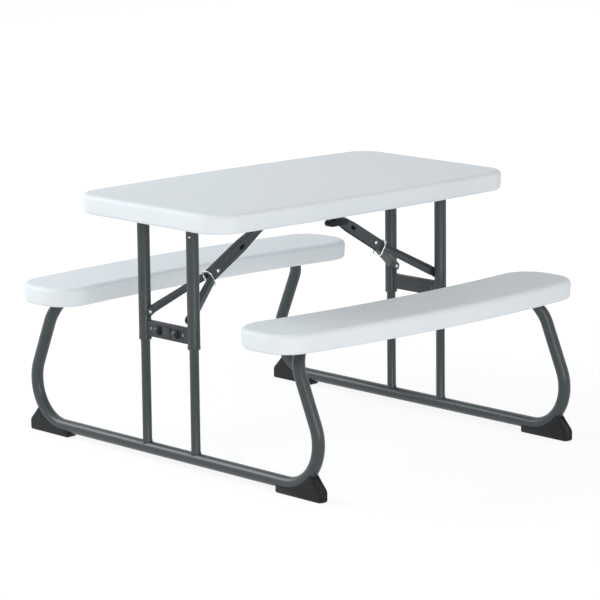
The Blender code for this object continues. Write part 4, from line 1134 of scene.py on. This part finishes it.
class PICNIC_OT_latches(bpy.types.Operator):
    """Finish the latch bars, and model their centre blocks and the pinch slides with their finger lugs"""
    bl_idname = "picnic.latches"
    bl_label = "Latches"

    def execute(self, context):
        for end_name, end in ENDS:
            keep_node(end_name + "_latch_bar", "latch", BAR_EDGE)
            self.centre_block(end_name, end)
            for row_name, row in ROWS:
                self.pinch_slide(end_name + "_" + row_name, end, row)
        return {"FINISHED"}

    def centre_block(self, end_name, end):
        """The raised plate between the two finger lugs."""
        z = (SLIDE_LOW.z + SLIDE_HIGH.z) / 2
        outline = rounded_rectangle(*BLOCK_HALVES, BLOCK_CORNER, BLOCK_CORNER, 2, radians(30))
        place = axis_matrix((end * (FRAME_X + BLOCK_X), 0, z), (0, 1, 0), (0, 0, 1))
        block = slab(end_name + "_latch_block", outline, BLOCK_THICKNESS, place, PLATE_EDGE, 2)
        dress(block, "latch", end_name + "_upper_frame")

    def pinch_slide(self, corner, end, row):
        """A slide behind the bar, with a hollow finger lug in front and a pin at its outer end."""
        low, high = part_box(corner + "_latch_slide")
        z = (low.z + high.z) / 2
        half_z = (high.z - low.z) / 2
        lug_place = axis_matrix((0, row * LUG_Y, z), (end, 0, 0), (0, 0, 1))
        outline = self.lug_outline(max(abs(low.x), abs(high.x)), half_z)
        lug = slab(corner + "_finger_lug", outline, LUG_WIDTH, lug_place, LUG_EDGE)
        cap = self.lug_cap(corner + "_cap", lug_place)
        plate_place = axis_matrix((end * (FRAME_X + PLATE_X), 0, z), (0, 1, 0), (0, 0, 1))
        outer = UPRIGHT_Y - sizes().tube_radius - PLATE_GAP
        strip = rectangle(row * PLATE_INNER_Y, row * outer, half_z)
        plate = slab(corner + "_plate", strip, PLATE_THICKNESS, plate_place, PLATE_EDGE)
        slot = rectangle(row * PLATE_SLOT[0], row * PLATE_SLOT[1], PLATE_SLOT_HALF)
        carve(plate, slab("slot_punch", slot, CUT_PAST, plate_place))
        tip = along_y((end * FRAME_X, row * (outer + PIN_STEP), z))
        pin = turned(corner + "_pin", [(r, row * h) for r, h in PIN[::row]], tip)
        merge(lug, cap, plate, pin)
        dress(lug, "latch", corner + "_latch", corner + "_latch_slide")

    def lug_outline(self, front, half_z):
        face = FRAME_X + LUG_FACE_X
        shoulder = face + LUG_STEP
        outline = [(face - LUG_ROOT, half_z), (face - LUG_ROOT, -half_z), (shoulder, -half_z)]
        outline += [(shoulder + (front - shoulder) * cos(a), half_z * sin(a)) for a in LUG_TURNS]
        return outline + [(shoulder, half_z)]

    def lug_cap(self, name, place):
        """The rounded finger grip, hollow from both sides."""
        root = FRAME_X + CAP_X
        outline = [(root, CAP_HALF), (root, -CAP_HALF)]
        outline += [(root + CAP_REACH * cos(a), CAP_HALF * sin(a)) for a in LUG_TURNS]
        cap = slab(name, outline, CAP_WIDTH, place, BAR_EDGE)
        pocket = [(root + POCKET_STEP + (x - root) * POCKET_SHARE, h * POCKET_SHARE) for x, h in outline]
        for side in (-1, 1):
            face = place @ Matrix.Translation((0, 0, side * CAP_WIDTH / 2))
            carve(cap, slab("pocket_cutter", pocket, POCKET_DEPTH, face))
        return cap


class PICNIC_OT_brackets(bpy.types.Operator):
    """Finish the saddles, hinge blocks, centre bracket and tube clips"""
    bl_idname = "picnic.brackets"
    bl_label = "Brackets"

    def execute(self, context):
        keep_node("centre_bracket", "coat", FINE_EDGE)
        for row_name, _ in ROWS:
            keep_node(row_name + "_tube_clip", "black", BLOCK_EDGE)
            for end_name, _ in ENDS:
                keep_node(end_name + "_" + row_name + "_hinge_saddle", "black", BLOCK_EDGE)
                keep_node(row_name + "_bench_" + end_name + "_hinge", "coat", PLATE_EDGE)
        return {"FINISHED"}


class PICNIC_OT_stage(bpy.types.Operator):
    """Set the floor, the studio light and the camera"""
    bl_idname = "picnic.stage"
    bl_label = "Stage"

    def execute(self, context):
        context.scene.view_settings.view_transform = "Standard"
        self.floor()
        self.world(context)
        key = self.lamp("key_light", (-3.6, -1.0, 1.1), (1.5, 2.2), 14.5, (1.0, 0.95, 0.90))
        key.visible_glossy = False
        self.lamp("front_light", (-1.35, -3.5, 1.15), (2.6, 1.3), 41.0, (0.98, 0.99, 1.0))
        self.lamp("rear_light", (-1.6, 2.3, 2.0), (2.0, 1.6), 58.0, (0.91, 0.965, 1.0))
        self.camera(context)
        return {"FINISHED"}

    def floor(self):
        """A pale floor that glows to white away from the table and takes its shadow near it."""
        begin()
        bpy.ops.mesh.primitive_plane_add(size=FLOOR_SIZE, location=(0, 0, -FLOOR_DROP))
        floor = named("studio_floor")
        finish = bpy.data.materials.new("studio_floor")
        finish.use_nodes = True
        tree = finish.node_tree
        tree.nodes.clear()
        out = tree.nodes.new("ShaderNodeOutputMaterial")
        matt = tree.nodes.new("ShaderNodeBsdfDiffuse")
        matt.inputs["Color"].default_value = FLOOR_GREY
        glow = tree.nodes.new("ShaderNodeEmission")
        glow.inputs["Strength"].default_value = FLOOR_GLOW
        mix = tree.nodes.new("ShaderNodeMixShader")
        away = tree.nodes.new("ShaderNodeVectorMath")
        away.operation = "LENGTH"
        feed(tree, away.inputs[0], tree.nodes.new("ShaderNodeTexCoord").outputs["Object"])
        share = ranged(tree, away.outputs["Value"], *SHADOW_REACH, SHADOW_GLOW, 1.0)
        bounce = math_node(tree, "MAXIMUM", self.seen(tree), FLOOR_BOUNCE)
        feed(tree, mix.inputs[0], math_node(tree, "MULTIPLY", bounce, share))
        feed(tree, mix.inputs[1], matt.outputs[0])
        feed(tree, mix.inputs[2], glow.outputs[0])
        feed(tree, out.inputs["Surface"], mix.outputs[0])
        floor.data.materials.append(finish)

    def seen(self, tree):
        """1 for rays that the camera sees directly or by reflection or through glass."""
        path = tree.nodes.new("ShaderNodeLightPath")
        first = math_node(tree, "MAXIMUM", path.outputs["Is Camera Ray"], path.outputs["Is Glossy Ray"])
        return math_node(tree, "MAXIMUM", first, path.outputs["Is Transmission Ray"])

    def world(self, context):
        world = bpy.data.worlds.new("studio")
        context.scene.world = world
        world.use_nodes = True
        tree = world.node_tree
        tree.nodes.clear()
        out = tree.nodes.new("ShaderNodeOutputWorld")
        sky = tree.nodes.new("ShaderNodeBackground")
        sky.inputs["Color"].default_value = (1.0, 1.0, 1.0, 1.0)
        feed(tree, sky.inputs["Strength"], ranged(tree, self.seen(tree), 0.0, 1.0, SKY_LIGHT, 1.0))
        feed(tree, out.inputs["Surface"], sky.outputs[0])

    def lamp(self, name, place, size, power, tint):
        """Hang a soft light that faces the table."""
        light = bpy.data.lights.new(name, "AREA")
        light.shape = "RECTANGLE"
        light.size, light.size_y = size
        light.energy = power
        light.color = tint
        obj = bpy.data.objects.new(name, light)
        obj.location = place
        obj.rotation_euler = (LIGHT_AIM - Vector(place)).to_track_quat("-Z", "Y").to_euler()
        bpy.context.scene.collection.objects.link(obj)
        return obj

    def camera(self, context):
        lens = bpy.data.cameras.new("photo_camera")
        lens.sensor_width = 36.0
        lens.lens = CAMERA_LENS
        lens.clip_end = 50.0
        camera = bpy.data.objects.new("photo_camera", lens)
        camera.matrix_world = axis_matrix(CAMERA_PLACE, CAMERA_RIGHT, CAMERA_UP)
        context.scene.collection.objects.link(camera)
        context.scene.camera = camera


class PICNIC_PT_panel(bpy.types.Panel):
    """Lists the table's pieces in the sidebar"""
    bl_idname = "PICNIC_PT_panel"
    bl_label = "Picnic Table"
    bl_space_type = "VIEW_3D"
    bl_region_type = "UI"
    bl_category = "Picnic Table"

    def draw(self, context):
        for operator in OPERATORS:
            self.layout.operator(operator.bl_idname)
        for group in (context.scene.picnic_table_sizes, context.scene.picnic_table_colours):
            for name in group.__annotations__:
                self.layout.prop(group, name)


OPERATORS = (PICNIC_OT_table_top, PICNIC_OT_benches, PICNIC_OT_floor_tubes, PICNIC_OT_uprights, PICNIC_OT_feet,
             PICNIC_OT_braces, PICNIC_OT_fasteners, PICNIC_OT_latches, PICNIC_OT_brackets, PICNIC_OT_stage)
CLASSES = (PicnicTableSizes, PicnicTableColours, *OPERATORS, PICNIC_PT_panel)


def register():
    for cls in CLASSES:
        bpy.utils.register_class(cls)
    bpy.types.Scene.picnic_table_sizes = PointerProperty(type=PicnicTableSizes)
    bpy.types.Scene.picnic_table_colours = PointerProperty(type=PicnicTableColours)


def unregister():
    del bpy.types.Scene.picnic_table_colours
    del bpy.types.Scene.picnic_table_sizes
    for cls in reversed(CLASSES):
        bpy.utils.unregister_class(cls)


def main():
    register()
    make_finishes()
    bpy.ops.picnic.table_top()
    bpy.ops.picnic.benches()
    bpy.ops.picnic.floor_tubes()
    bpy.ops.picnic.uprights()
    bpy.ops.picnic.feet()
    bpy.ops.picnic.braces()
    bpy.ops.picnic.fasteners()
    bpy.ops.picnic.latches()
    bpy.ops.picnic.brackets()
    bpy.ops.picnic.stage()


if __name__ == "__main__":
    main()
